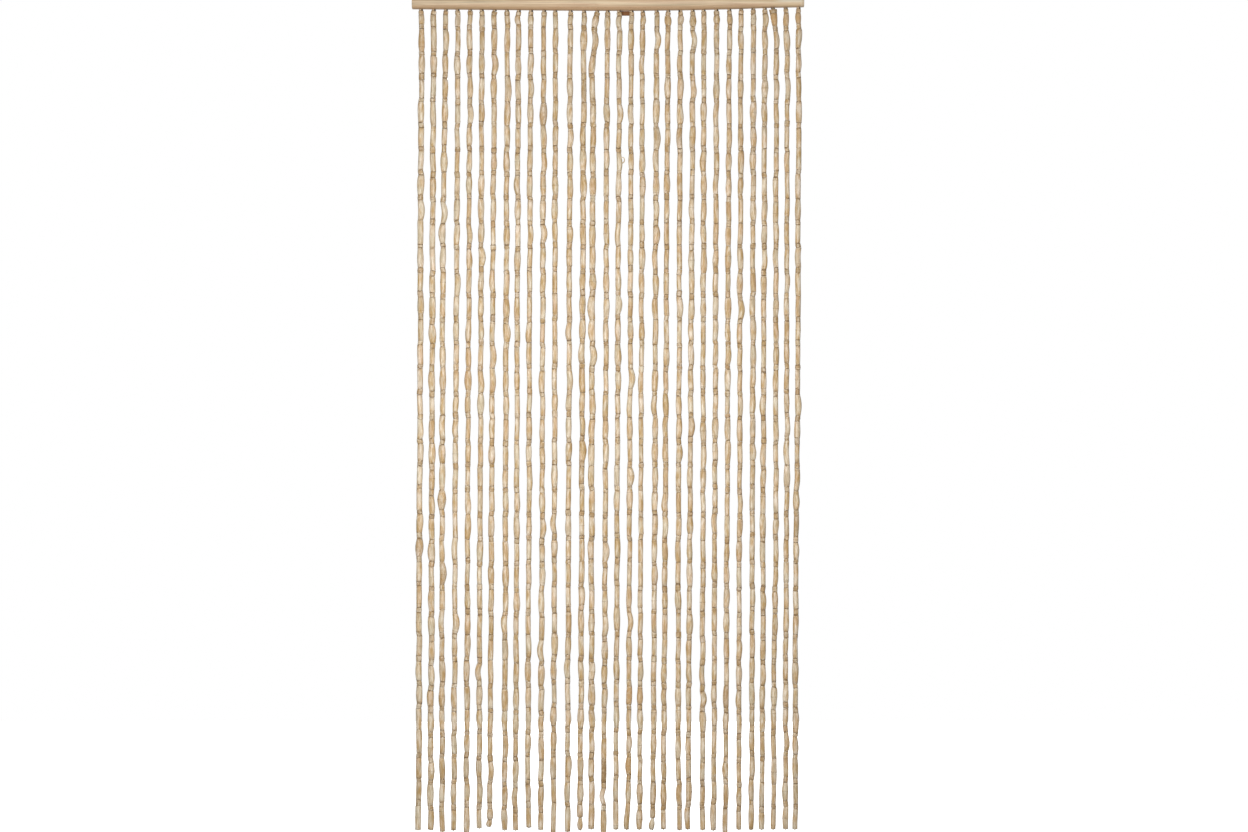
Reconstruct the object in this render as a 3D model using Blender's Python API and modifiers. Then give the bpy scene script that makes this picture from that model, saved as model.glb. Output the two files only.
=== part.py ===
"""Fly curtain: thirty-two bead strings that hang from a wooden rail.

Metres, +Z up. The origin is the centre of the rail's flat back face. The wall side is +Y, the
room side is -Y, and +X is to the right as seen from the room.

Every string is one strand of four sides. Its root is the knot that sits under the rail, and its
sections follow the beads: narrow at a short bead, wide at the belly of a long one.
"""

import math
import random
from collections import namedtuple

import bmesh
import bpy
import numpy as np

MM = 0.001
CLEARANCE = 0.3 * MM  # between pieces that touch

# Rail: a batten with a flat back and a round front
RAIL_LENGTH = 900 * MM
RAIL_HEIGHT = 28 * MM
RAIL_DEPTH = 24 * MM
RAIL_BULGE = 13 * MM  # how far the round front stands out
RAIL_ARC_STEPS = 16
RAIL_EDGE = 2 * MM
RAIL_UNDERSIDE = -0.5 * RAIL_HEIGHT

# The rail's underside sags in the middle and rises towards its right end
Rise = namedtuple("Rise", "x lift")
RAIL_RISE = (
    Rise(x=-450 * MM, lift=-0.2 * MM),
    Rise(x=-300 * MM, lift=-1.4 * MM),
    Rise(x=-150 * MM, lift=-3.0 * MM),
    Rise(x=-40 * MM, lift=-3.9 * MM),
    Rise(x=60 * MM, lift=-3.9 * MM),
    Rise(x=180 * MM, lift=-2.7 * MM),
    Rise(x=300 * MM, lift=0.3 * MM),
    Rise(x=380 * MM, lift=3.1 * MM),
    Rise(x=450 * MM, lift=4.5 * MM),
)

# Strings: places along the rail
STRING_COUNT = 32
STRING_PITCH = 27.9 * MM
FIRST_STRING_X = -428.5 * MM
STRING_Y = -10.5 * MM
PLACE_JITTER = 0.6 * MM
STRING_DROP = 1884 * MM  # from the rail's underside to a string's end
DROP_JITTER = 1.5 * MM
SIDE_DRIFT = -7 * MM  # every string ends this far to the side of its hole

# Strings: beads
KNOT_RADIUS = 5.2 * MM
KNOT_LENGTH = 4.0 * MM
TOP_BEAD_LENGTH = 9 * MM
ROW_COUNT = 33
FIRST_ROW = 43.6 * MM  # the first row of short beads, below the rail's underside
ROW_PITCH = 55.8 * MM
ROW_JITTER = 4 * MM
ROW_DRIFT = 8 * MM  # how far a string's rows may have slid from the others' at its end
SHORT_LENGTH = (8 * MM, 15 * MM)
SHORT_RADIUS = (5.5 * MM, 6.2 * MM)
MISSING_SHORT = 0.12  # share of the rows where two long beads meet end to end
END_RADIUS = (5.5 * MM, 6.2 * MM)
BELLY_AT = (0.35, 0.65)
JOINT_WANDER_X = 1.2 * MM
JOINT_WANDER_Y = 0.4 * MM
PLAN_SEED = 4100

# Kinds of long bead: share of all, how far the belly stands out, and the bow to the side
BeadKind = namedtuple("BeadKind", "share swell_low swell_high bow_x bow_y")
BEAD_KINDS = (
    BeadKind(share=0.48, swell_low=0.0 * MM, swell_high=0.5 * MM, bow_x=0.5 * MM, bow_y=0.2 * MM),
    BeadKind(share=0.38, swell_low=0.8 * MM, swell_high=2.0 * MM, bow_x=0.8 * MM, bow_y=0.4 * MM),
    BeadKind(share=0.14, swell_low=0.4 * MM, swell_high=1.4 * MM, bow_x=2.4 * MM, bow_y=0.6 * MM),
)
PLAIN_SWELL = 0.4 * MM  # a bead that swells and bows less than this needs no belly section
PLAIN_BOW = 0.8 * MM

# Strings whose holes stand off the even pitch together
GROUP_STRINGS = range(13, 30)
GROUP_SHIFT = 8 * MM

# Strings with a place, lean, thickness or length of their own
StringRow = namedtuple(
    "StringRow", "string place lean stout drop", defaults=(0.0, 0.0, 1.0, STRING_DROP)
)
STRING_ROWS = (
    StringRow(string=1, stout=1.09),
    StringRow(string=2, stout=1.08),
    StringRow(string=3, drop=1888 * MM),
    StringRow(string=4, lean=-3 * MM),
    StringRow(string=5, lean=-1.5 * MM, stout=0.97, drop=1892 * MM),
    StringRow(string=6, drop=1880 * MM),
    StringRow(string=7, lean=-3 * MM, drop=1879 * MM),
    StringRow(string=8, place=2 * MM, stout=1.04),
    StringRow(string=10, drop=1880 * MM),
    StringRow(string=11, place=2 * MM),
    StringRow(string=12, place=1.5 * MM, lean=2 * MM, drop=1889 * MM),
    StringRow(string=13, stout=1.03, drop=1889 * MM),
    StringRow(string=14, place=3 * MM, lean=-1.5 * MM, stout=1.04),
    StringRow(string=15, place=7 * MM, stout=1.08),
    StringRow(string=16, place=1 * MM, lean=-1.5 * MM, drop=1895 * MM),
    StringRow(string=17, lean=-1.5 * MM),
    StringRow(string=18, stout=0.96),
    StringRow(string=19, place=-1.5 * MM, stout=0.94),
    StringRow(string=20, place=3 * MM, lean=-2 * MM),
    StringRow(string=21, lean=-3.5 * MM),
    StringRow(string=22, place=1.5 * MM),
    StringRow(string=23, place=1.5 * MM, lean=-4.5 * MM),
    StringRow(string=24, place=-1 * MM, lean=3 * MM),
    StringRow(string=26, place=2 * MM, lean=-3 * MM, stout=0.96, drop=1893 * MM),
    StringRow(string=27, lean=1.5 * MM, stout=0.96),
    StringRow(string=28, place=1.5 * MM, lean=2 * MM),
    StringRow(string=30, place=-2.5 * MM, lean=5 * MM, stout=0.97),
    StringRow(string=31, place=0.5 * MM, lean=5 * MM, stout=0.96),
    StringRow(string=32, place=1.5 * MM, lean=3 * MM),
)

# Single strings that leave their line between two depths below the rail
Kink = namedtuple("Kink", "string start end shift")
KINKS = (
    Kink(string=3, start=60 * MM, end=500 * MM, shift=-4 * MM),
    Kink(string=3, start=1250 * MM, end=1750 * MM, shift=2.5 * MM),
    Kink(string=10, start=1780 * MM, end=1870 * MM, shift=3 * MM),
    Kink(string=15, start=4 * MM, end=30 * MM, shift=-7.5 * MM),
    Kink(string=15, start=88 * MM, end=130 * MM, shift=-7 * MM),
    Kink(string=15, start=140 * MM, end=200 * MM, shift=4.5 * MM),
    Kink(string=15, start=1200 * MM, end=1700 * MM, shift=2 * MM),
    Kink(string=18, start=1790 * MM, end=1880 * MM, shift=-4 * MM),
    Kink(string=22, start=1650 * MM, end=1860 * MM, shift=5 * MM),
    Kink(string=30, start=4 * MM, end=34 * MM, shift=5.5 * MM),
    Kink(string=30, start=34 * MM, end=100 * MM, shift=2.5 * MM),
    Kink(string=30, start=1250 * MM, end=1550 * MM, shift=-4.5 * MM),
    Kink(string=31, start=4 * MM, end=120 * MM, shift=3 * MM),
    Kink(string=31, start=1150 * MM, end=1500 * MM, shift=-2 * MM),
    Kink(string=32, start=850 * MM, end=1250 * MM, shift=-4 * MM),
)

# The long beads that stand out most: where, how far they bow to the side, how far they swell
Standout = namedtuple("Standout", "string depth bow swell belly_at", defaults=(0.5,))
STANDOUTS = (
    Standout(string=1, depth=471 * MM, bow=2.5 * MM, swell=1.7 * MM),
    Standout(string=1, depth=1256 * MM, bow=0.0 * MM, swell=3.0 * MM),
    Standout(string=2, depth=749 * MM, bow=0.0 * MM, swell=3.0 * MM),
    Standout(string=2, depth=877 * MM, bow=-0.5 * MM, swell=3.0 * MM),
    Standout(string=2, depth=1250 * MM, bow=-1.0 * MM, swell=2.4 * MM),
    Standout(string=3, depth=345 * MM, bow=0.0 * MM, swell=2.8 * MM),
    Standout(string=3, depth=464 * MM, bow=4.5 * MM, swell=1.5 * MM),
    Standout(string=3, depth=517 * MM, bow=-2.0 * MM, swell=2.8 * MM),
    Standout(string=3, depth=1134 * MM, bow=0.0 * MM, swell=3.8 * MM),
    Standout(string=3, depth=1304 * MM, bow=3.0 * MM, swell=2.5 * MM),
    Standout(string=4, depth=1407 * MM, bow=3.5 * MM, swell=2.0 * MM),
    Standout(string=5, depth=870 * MM, bow=-0.5 * MM, swell=2.6 * MM),
    Standout(string=6, depth=579 * MM, bow=3.0 * MM, swell=2.0 * MM),
    Standout(string=6, depth=921 * MM, bow=0.5 * MM, swell=3.0 * MM),
    Standout(string=6, depth=1515 * MM, bow=-4.0 * MM, swell=0.7 * MM),
    Standout(string=7, depth=131 * MM, bow=4.0 * MM, swell=1.2 * MM),
    Standout(string=7, depth=797 * MM, bow=3.0 * MM, swell=1.3 * MM),
    Standout(string=7, depth=1449 * MM, bow=3.0 * MM, swell=1.5 * MM),
    Standout(string=8, depth=745 * MM, bow=1.5 * MM, swell=2.8 * MM),
    Standout(string=9, depth=409 * MM, bow=-2.5 * MM, swell=1.7 * MM),
    Standout(string=11, depth=242 * MM, bow=0.0 * MM, swell=2.7 * MM),
    Standout(string=11, depth=515 * MM, bow=4.0 * MM, swell=1.6 * MM),
    Standout(string=11, depth=1196 * MM, bow=2.5 * MM, swell=2.2 * MM),
    Standout(string=11, depth=1450 * MM, bow=-4.0 * MM, swell=1.5 * MM),
    Standout(string=12, depth=1190 * MM, bow=-4.0 * MM, swell=1.5 * MM),
    Standout(string=14, depth=1024 * MM, bow=2.5 * MM, swell=2.0 * MM),
    Standout(string=15, depth=74 * MM, bow=3.0 * MM, swell=1.3 * MM),
    Standout(string=15, depth=695 * MM, bow=-3.0 * MM, swell=1.8 * MM),
    Standout(string=15, depth=742 * MM, bow=-2.5 * MM, swell=2.0 * MM),
    Standout(string=15, depth=792 * MM, bow=4.0 * MM, swell=1.3 * MM),
    Standout(string=16, depth=993 * MM, bow=3.5 * MM, swell=2.2 * MM),
    Standout(string=16, depth=1231 * MM, bow=3.0 * MM, swell=2.5 * MM),
    Standout(string=16, depth=1808 * MM, bow=-4.5 * MM, swell=0.4 * MM),
    Standout(string=17, depth=235 * MM, bow=3.0 * MM, swell=1.8 * MM),
    Standout(string=17, depth=675 * MM, bow=2.5 * MM, swell=2.5 * MM),
    Standout(string=18, depth=845 * MM, bow=4.0 * MM, swell=2.0 * MM),
    Standout(string=18, depth=1072 * MM, bow=2.5 * MM, swell=2.5 * MM),
    Standout(string=18, depth=1410 * MM, bow=3.5 * MM, swell=1.0 * MM),
    Standout(string=18, depth=1738 * MM, bow=-2.0 * MM, swell=1.2 * MM),
    Standout(string=18, depth=1865 * MM, bow=-1.5 * MM, swell=1.2 * MM, belly_at=0.7),
    Standout(string=20, depth=75 * MM, bow=4.0 * MM, swell=1.3 * MM),
    Standout(string=20, depth=287 * MM, bow=2.5 * MM, swell=2.0 * MM),
    Standout(string=20, depth=510 * MM, bow=2.0 * MM, swell=2.3 * MM),
    Standout(string=22, depth=1013 * MM, bow=2.0 * MM, swell=2.3 * MM),
    Standout(string=23, depth=74 * MM, bow=4.0 * MM, swell=0.5 * MM),
    Standout(string=23, depth=958 * MM, bow=2.5 * MM, swell=1.8 * MM),
    Standout(string=24, depth=1597 * MM, bow=3.5 * MM, swell=1.4 * MM),
    Standout(string=27, depth=680 * MM, bow=3.0 * MM, swell=1.4 * MM),
    Standout(string=29, depth=907 * MM, bow=-2.0 * MM, swell=1.7 * MM),
    Standout(string=30, depth=24 * MM, bow=-1.5 * MM, swell=3.2 * MM, belly_at=0.15),
    Standout(string=31, depth=62 * MM, bow=1.0 * MM, swell=1.6 * MM),
    Standout(string=32, depth=909 * MM, bow=1.5 * MM, swell=1.8 * MM),
)

# Strings that end in a bead like a drop, narrow above and thick below
DropBead = namedtuple("DropBead", "string length neck radius shift")
DROP_BEADS = (
    DropBead(string=7, length=17 * MM, neck=4.8 * MM, radius=6.6 * MM, shift=-2.5 * MM),
    DropBead(string=14, length=29 * MM, neck=3.8 * MM, radius=6.7 * MM, shift=-0.8 * MM),
    DropBead(string=20, length=27 * MM, neck=2.9 * MM, radius=7.0 * MM, shift=-2.5 * MM),
)
DROP_BELLY_AT = 0.62
DROP_END = 0.78  # the radius at a drop's lower end, as a share of its belly's

# Tab under the middle of the rail, behind the strings
TAB_X = 39.5 * MM
TAB_WIDTH = 22 * MM
TAB_HEIGHT = 10.6 * MM
TAB_THICKNESS = 2.4 * MM
TAB_EDGE = 0.5 * MM

BEVEL_ANGLE = math.radians(50)
MERGE_DISTANCE = 0.00005
CURVE_DEPTH = 1 * MM  # a strand's point radius counts in these

Bead = namedtuple("Bead", "form top bottom end_radius belly_radius belly_at bow_x bow_y")
SHORT, LONG, DROP = "short", "long", "drop"
Joint = namedtuple("Joint", "x y depth")
Section = namedtuple("Section", "x y depth radius")


def clear_scene():
    """Remove the objects that the scene starts with."""
    for thing in list(bpy.data.objects):
        bpy.data.objects.remove(thing, do_unlink=True)


def new_collection(name):
    """Make a collection under the scene's own."""
    collection = bpy.data.collections.new(name)
    bpy.context.scene.collection.children.link(collection)
    return collection


def make_material(name, colour, roughness, metallic=0.0):
    """Make a plain Principled material."""
    material = bpy.data.materials.new(name)
    material.use_nodes = True
    shader = material.node_tree.nodes["Principled BSDF"]
    shader.inputs["Base Color"].default_value = (*colour, 1.0)
    shader.inputs["Roughness"].default_value = roughness
    shader.inputs["Metallic"].default_value = metallic
    material.diffuse_color = (*colour, 1.0)
    return material


def add_object(name, data, collection, material):
    """Make an object of the data, dress it and link it."""
    data.materials.append(material)
    thing = bpy.data.objects.new(name, data)
    collection.objects.link(thing)
    return thing


def add_bevel(thing, width, segments):
    """Round the sharp edges of an object."""
    bevel = thing.modifiers.new("round_edges", "BEVEL")
    bevel.width = width
    bevel.segments = segments
    bevel.limit_method = "ANGLE"
    bevel.angle_limit = BEVEL_ANGLE


def smooth_step(value):
    """Ease from 0 to 1."""
    value = min(max(value, 0.0), 1.0)
    return value * value * (3.0 - 2.0 * value)


def rail_outline():
    """Return the rail's section as points (y, z): flat back, top and bottom, round front."""
    half = 0.5 * RAIL_HEIGHT
    flat = RAIL_DEPTH - RAIL_BULGE
    outline = [(0.0, half), (0.0, -half)]
    for step in range(RAIL_ARC_STEPS + 1):
        angle = math.pi * step / RAIL_ARC_STEPS
        outline.append((-flat - RAIL_BULGE * math.sin(angle), -half * math.cos(angle)))
    return outline


def rail_lift(x):
    """Return how far the rail's underside has risen at a place along it."""
    return float(np.interp(x, [row.x for row in RAIL_RISE], [row.lift for row in RAIL_RISE]))


def raise_underside(shape):
    """Cut the rail's mesh where its underside bends, and draw its lower half up or down there."""
    for row in RAIL_RISE[1:-1]:
        geometry = shape.verts[:] + shape.edges[:] + shape.faces[:]
        bmesh.ops.bisect_plane(shape, geom=geometry, plane_co=(row.x, 0, 0), plane_no=(1, 0, 0))
    for vertex in shape.verts:
        if vertex.co.z < 0.0:
            vertex.co.z *= 1.0 + rail_lift(vertex.co.x) / RAIL_UNDERSIDE


def build_rail(collection, material):
    """Extrude the rail's section along X, bend its underside and ease its edges."""
    outline = rail_outline()
    curve = bpy.data.curves.new("rail_outline", "CURVE")
    curve.dimensions = "2D"
    curve.fill_mode = "BOTH"
    curve.extrude = 0.5 * RAIL_LENGTH
    spline = curve.splines.new("POLY")
    spline.points.add(len(outline) - 1)
    spline.use_cyclic_u = True
    for point, (y, z) in zip(spline.points, outline):
        point.co = (y, z, 0.0, 1.0)
    drawn = bpy.data.objects.new("rail_outline", curve)
    collection.objects.link(drawn)
    drawn.rotation_euler = (math.radians(90), 0.0, math.radians(90))
    bpy.context.view_layer.update()

    evaluated = drawn.evaluated_get(bpy.context.evaluated_depsgraph_get())
    mesh = bpy.data.meshes.new_from_object(evaluated)
    mesh.materials.clear()
    welded = bmesh.new()
    welded.from_mesh(mesh)
    bmesh.ops.remove_doubles(welded, verts=welded.verts, dist=MERGE_DISTANCE)
    welded.transform(drawn.matrix_world)
    raise_underside(welded)
    welded.to_mesh(mesh)
    welded.free()
    rail = add_object("rail", mesh, collection, material)
    bpy.data.objects.remove(drawn, do_unlink=True)
    add_bevel(rail, RAIL_EDGE, segments=2)
    return rail


def build_centre_tab(collection, material):
    """Build the small tab that stands under the rail behind the middle strings."""
    bpy.ops.mesh.primitive_cube_add(size=1.0)
    tab = bpy.context.active_object
    tab.name = "centre_tab"
    tab.data.name = "centre_tab"
    for vertex in tab.data.vertices:
        vertex.co.x *= TAB_WIDTH
        vertex.co.y *= TAB_THICKNESS
        vertex.co.z *= TAB_HEIGHT
    tab.location = (
        TAB_X,
        -CLEARANCE - 0.5 * TAB_THICKNESS,
        RAIL_UNDERSIDE + rail_lift(TAB_X) - CLEARANCE - 0.5 * TAB_HEIGHT,
    )
    for holder in list(tab.users_collection):
        holder.objects.unlink(tab)
    collection.objects.link(tab)
    tab.data.materials.append(material)
    add_bevel(tab, TAB_EDGE, segments=1)
    return tab


def string_row(number):
    """Return the row of a string, or a plain one."""
    for row in STRING_ROWS:
        if row.string == number:
            return row
    return StringRow(string=number)


def line_x(number, place_jitter, depth):
    """Return where a string's line runs at a depth, before its beads wander off it."""
    row = string_row(number)
    x = FIRST_STRING_X + (number - 1) * STRING_PITCH + row.place + place_jitter
    x += (SIDE_DRIFT + row.lean) * depth / STRING_DROP
    if number in GROUP_STRINGS:
        x += GROUP_SHIFT
    for kink in KINKS:
        if kink.string == number:
            x += kink.shift * smooth_step((depth - kink.start) / (kink.end - kink.start))
    return x


def short_bead(draw, stout, top, bottom):
    """Draw a short bead between two depths."""
    radius = stout * draw.uniform(*SHORT_RADIUS)
    return Bead(SHORT, top, bottom, radius, radius, 0.5, 0.0, 0.0)


def long_bead(draw, stout, top, bottom):
    """Draw a long bead between two depths: straight, swollen or bowed like a pod."""
    pick = draw.random()
    kind = BEAD_KINDS[-1]
    for candidate in BEAD_KINDS:
        if pick < candidate.share:
            kind = candidate
            break
        pick -= candidate.share
    end_radius = stout * draw.uniform(*END_RADIUS)
    belly_radius = end_radius + draw.uniform(kind.swell_low, kind.swell_high)
    belly_at = draw.uniform(*BELLY_AT)
    bow_x = draw.uniform(-kind.bow_x, kind.bow_x)
    bow_y = draw.uniform(-kind.bow_y, kind.bow_y)
    return Bead(LONG, top, bottom, end_radius, belly_radius, belly_at, bow_x, bow_y)


def shape_standout(number, bead):
    """Give a long bead the bow and swell of the standout that lies in it, if one does."""
    for row in STANDOUTS:
        if bead.form == LONG and row.string == number and bead.top < row.depth <= bead.bottom:
            radius = bead.end_radius + row.swell
            return bead._replace(belly_radius=radius, belly_at=row.belly_at, bow_x=row.bow)
    return bead


def last_beads(draw, number, stout, top, drop):
    """Draw the beads below the last row: one long bead, with a drop under it on some strings."""
    for row in DROP_BEADS:
        if row.string == number:
            neck_at = drop - row.length
            above = long_bead(draw, stout, top, neck_at)
            below = Bead(DROP, neck_at, drop, row.neck, row.radius, DROP_BELLY_AT, row.shift, 0.0)
            return [above, below]
    return [long_bead(draw, stout, top, drop)]


def plan_string(number):
    """Return a string's beads from the rail down, and the joints above and below each bead."""
    draw = random.Random(PLAN_SEED + number)
    row = string_row(number)
    place_jitter = draw.uniform(-PLACE_JITTER, PLACE_JITTER)
    drop = row.drop + draw.uniform(-DROP_JITTER, DROP_JITTER)
    slide = draw.uniform(-ROW_DRIFT, ROW_DRIFT)

    knot_top = CLEARANCE - rail_lift(line_x(number, place_jitter, 0.0))
    first_top = knot_top + KNOT_LENGTH
    beads = [short_bead(draw, row.stout, first_top, first_top + TOP_BEAD_LENGTH)]
    for index in range(ROW_COUNT):
        centre = FIRST_ROW + index * ROW_PITCH + slide * index / ROW_COUNT
        centre += draw.uniform(-ROW_JITTER, ROW_JITTER)
        half = 0.5 * draw.uniform(*SHORT_LENGTH)
        missing = draw.random() < MISSING_SHORT
        if missing:
            half = 0.0
        beads.append(long_bead(draw, row.stout, beads[-1].bottom, centre - half))
        if not missing:
            beads.append(short_bead(draw, row.stout, centre - half, centre + half))
    beads += last_beads(draw, number, row.stout, beads[-1].bottom, drop)
    beads = [shape_standout(number, bead) for bead in beads]

    depths = [beads[0].top] + [bead.bottom for bead in beads]
    joints = []
    for depth in depths:
        x = line_x(number, place_jitter, depth) + draw.uniform(-JOINT_WANDER_X, JOINT_WANDER_X)
        y = STRING_Y + draw.uniform(-JOINT_WANDER_Y, JOINT_WANDER_Y)
        joints.append(Joint(x, y, depth))
    return beads, joints


def between(above, below, share):
    """Return the point at a share of the way from one joint to the next."""
    return Joint(*(a + share * (b - a) for a, b in zip(above, below)))


def belly_section(bead, above, below):
    """Return the section at a bead's thickest place."""
    belly = between(above, below, bead.belly_at)
    return Section(belly.x + bead.bow_x, belly.y + bead.bow_y, belly.depth, bead.belly_radius)


def strand_sections(number):
    """Return the sections of a string's strand, from its knot to its end."""
    beads, joints = plan_string(number)
    root = joints[0]
    sections = [
        Section(root.x, root.y, root.depth - KNOT_LENGTH, KNOT_RADIUS),
        Section(root.x, root.y, root.depth, KNOT_RADIUS),
    ]
    for index, bead in enumerate(beads):
        above, below = joints[index], joints[index + 1]
        after = beads[index + 1].form if index + 1 < len(beads) else None
        if bead.form == SHORT:
            sections.append(Section(*between(above, below, 0.5), bead.belly_radius))
            continue
        if bead.form == DROP:
            end = Section(below.x + bead.bow_x, below.y, below.depth, DROP_END * bead.belly_radius)
            sections += [belly_section(bead, above, below), end]
            continue
        swells = bead.belly_radius - bead.end_radius > PLAIN_SWELL
        if swells or abs(bead.bow_x) > PLAIN_BOW:
            sections.append(belly_section(bead, above, below))
        if after == DROP:
            sections.append(Section(*below, beads[index + 1].end_radius))
        elif after != SHORT:
            sections.append(Section(*below, bead.end_radius))
    return sections


def build_string(number, collection, material):
    """Build one string as a strand of four sides through its sections."""
    name = f"string_{number:02d}"
    curve = bpy.data.curves.new(name, "CURVE")
    curve.dimensions = "3D"
    curve.bevel_depth = CURVE_DEPTH
    curve.bevel_resolution = 0
    curve.use_fill_caps = True
    sections = strand_sections(number)
    spline = curve.splines.new("POLY")
    spline.points.add(len(sections) - 1)
    for point, section in zip(spline.points, sections):
        point.co = (section.x, section.y, RAIL_UNDERSIDE - section.depth, 1.0)
        point.radius = section.radius / CURVE_DEPTH
    return add_object(name, curve, collection, material)


def main():
    """Build the curtain."""
    clear_scene()
    curtain = new_collection("fly_curtain")
    rail_wood = make_material("rail_wood", colour=(0.60, 0.45, 0.29), roughness=0.55)
    bead_cane = make_material("bead_cane", colour=(0.66, 0.50, 0.30), roughness=0.45)
    tab_brown = make_material("tab_brown", colour=(0.16, 0.06, 0.03), roughness=0.5)
    build_rail(curtain, rail_wood)
    build_centre_tab(curtain, tab_brown)
    for number in range(1, STRING_COUNT + 1):
        build_string(number, curtain, bead_cane)


main()
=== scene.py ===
"""Looks of the fly curtain: 32 strings of cane beads that hang from a wooden rail.

Metres, +Z up. The origin is the centre of the rail's flat back face, the wall side is +Y, the
room side is -Y, and +X is to the right as seen from the room. A depth is a length down from the
rail's underside where that neither sags nor rises.
"""

import logging
import math
import random
from collections.abc import Sequence
from dataclasses import dataclass, field, replace
from enum import Enum
from typing import NamedTuple

import bmesh
import bpy
import numpy as np
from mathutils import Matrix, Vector


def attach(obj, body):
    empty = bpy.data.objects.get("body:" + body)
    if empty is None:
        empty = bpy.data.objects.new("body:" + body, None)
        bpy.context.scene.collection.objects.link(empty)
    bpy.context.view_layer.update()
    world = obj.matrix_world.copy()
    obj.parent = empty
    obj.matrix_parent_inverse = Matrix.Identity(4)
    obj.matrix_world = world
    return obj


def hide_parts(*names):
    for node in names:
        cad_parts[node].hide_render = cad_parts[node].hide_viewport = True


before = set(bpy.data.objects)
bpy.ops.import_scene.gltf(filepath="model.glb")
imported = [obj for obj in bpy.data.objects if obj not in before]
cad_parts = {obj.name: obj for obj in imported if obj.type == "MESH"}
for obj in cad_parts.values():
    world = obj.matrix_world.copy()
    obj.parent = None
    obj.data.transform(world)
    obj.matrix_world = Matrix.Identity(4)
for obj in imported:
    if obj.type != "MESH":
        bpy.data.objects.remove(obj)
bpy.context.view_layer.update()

LOG = logging.getLogger("fly_curtain")
MM = 0.001
UNDERSIDE = -14 * MM
CLEARANCE = 0.3 * MM
BODY = "root"
BEAD_ATTRIBUTES = ("bead_space", "bead_look", "bead_wear")

Colour = tuple[float, float, float]
Point = tuple[float, float, float]
Socket = bpy.types.NodeSocket
Value = Socket | float | Colour


class BeadForm(Enum):
    """The forms that a bead has."""

    SHORT = "short"
    LONG = "long"
    DROP = "drop"
    WEDGE = "wedge"


class Stain(Enum):
    """What a bead that stands out from the rest is stained with."""

    NONE = 0.0
    ORANGE = 1.0
    BROWN = -1.0


class Rise(NamedTuple):
    """How far the rail's underside lies above its even level at a place along it."""

    x: float
    lift: float


class StringRow(NamedTuple):
    """A string with a place, lean, thickness or length of its own (millimetres)."""

    string: int
    place: float = 0.0
    lean: float = 0.0
    stout: float = 1.0
    drop: float = 1884.0


class Kink(NamedTuple):
    """Where a string leaves its line, from one depth to another (millimetres)."""

    string: int
    start: float
    end: float
    shift: float


class Standout(NamedTuple):
    """A long bead that stands out: how far it bows to the side and swells (millimetres)."""

    string: int
    depth: float
    bow: float
    swell: float
    belly_at: float = 0.5


class DropBead(NamedTuple):
    """A last bead like a drop, narrow above and thick below (millimetres)."""

    string: int
    length: float
    neck: float
    radius: float
    shift: float


class BeadKind(NamedTuple):
    """A kind of long bead: its share of all, how far the belly stands out, and its bow."""

    share: float
    swell_low: float
    swell_high: float
    bow_x: float
    bow_y: float


class Accent(NamedTuple):
    """A bead that is stained more than the rest (depth in millimetres)."""

    string: int
    depth: float
    stain: Stain
    strength: float


class Joint(NamedTuple):
    """Where one bead ends and the next begins."""

    x: float
    y: float
    depth: float


class Grain(NamedTuple):
    """A noise: its stretch by axis, how fine it is, its finer layers and how strong they are."""

    stretch: Point = (1.0, 1.0, 1.0)
    scale: float = 1.0
    detail: float = 2.0
    rough: float = 0.5


class Ease(NamedTuple):
    """A smooth way from start, where a value is low, to end, where it is high."""

    start: float
    end: float
    low: float = 0.3
    high: float = 0.7


RAIL_RISE = (
    Rise(-450 * MM, -0.2 * MM),
    Rise(-300 * MM, -1.4 * MM),
    Rise(-150 * MM, -3.0 * MM),
    Rise(-40 * MM, -3.9 * MM),
    Rise(60 * MM, -3.9 * MM),
    Rise(180 * MM, -2.7 * MM),
    Rise(300 * MM, 0.3 * MM),
    Rise(380 * MM, 3.1 * MM),
    Rise(450 * MM, 4.5 * MM),
)

BEAD_KINDS = (
    BeadKind(0.48, 0.0 * MM, 0.5 * MM, 0.5 * MM, 0.2 * MM),
    BeadKind(0.38, 0.8 * MM, 2.0 * MM, 0.8 * MM, 0.4 * MM),
    BeadKind(0.14, 0.4 * MM, 1.4 * MM, 2.4 * MM, 0.6 * MM),
)

STRING_ROWS = (
    StringRow(1, stout=1.09),
    StringRow(2, stout=1.08),
    StringRow(3, drop=1888),
    StringRow(4, lean=-3),
    StringRow(5, lean=-1.5, stout=0.97, drop=1892),
    StringRow(6, drop=1880),
    StringRow(7, lean=-3, drop=1879),
    StringRow(8, place=2, stout=1.04),
    StringRow(10, drop=1880),
    StringRow(11, place=2),
    StringRow(12, place=1.5, lean=2, drop=1889),
    StringRow(13, stout=1.03, drop=1889),
    StringRow(14, place=3, lean=-1.5, stout=1.04),
    StringRow(15, place=7, stout=1.08),
    StringRow(16, place=1, lean=-1.5, drop=1895),
    StringRow(17, lean=-1.5),
    StringRow(18, stout=0.96),
    StringRow(19, place=-1.5, stout=0.94),
    StringRow(20, place=3, lean=-2),
    StringRow(21, lean=-3.5),
    StringRow(22, place=1.5),
    StringRow(23, place=1.5, lean=-4.5),
    StringRow(24, place=-1, lean=3),
    StringRow(26, place=2, lean=-3, stout=0.96, drop=1893),
    StringRow(27, lean=1.5, stout=0.96),
    StringRow(28, place=1.5, lean=2),
    StringRow(30, place=-2.5, lean=5, stout=0.97),
    StringRow(31, place=0.5, lean=5, stout=0.96),
    StringRow(32, place=1.5, lean=3),
)

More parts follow.
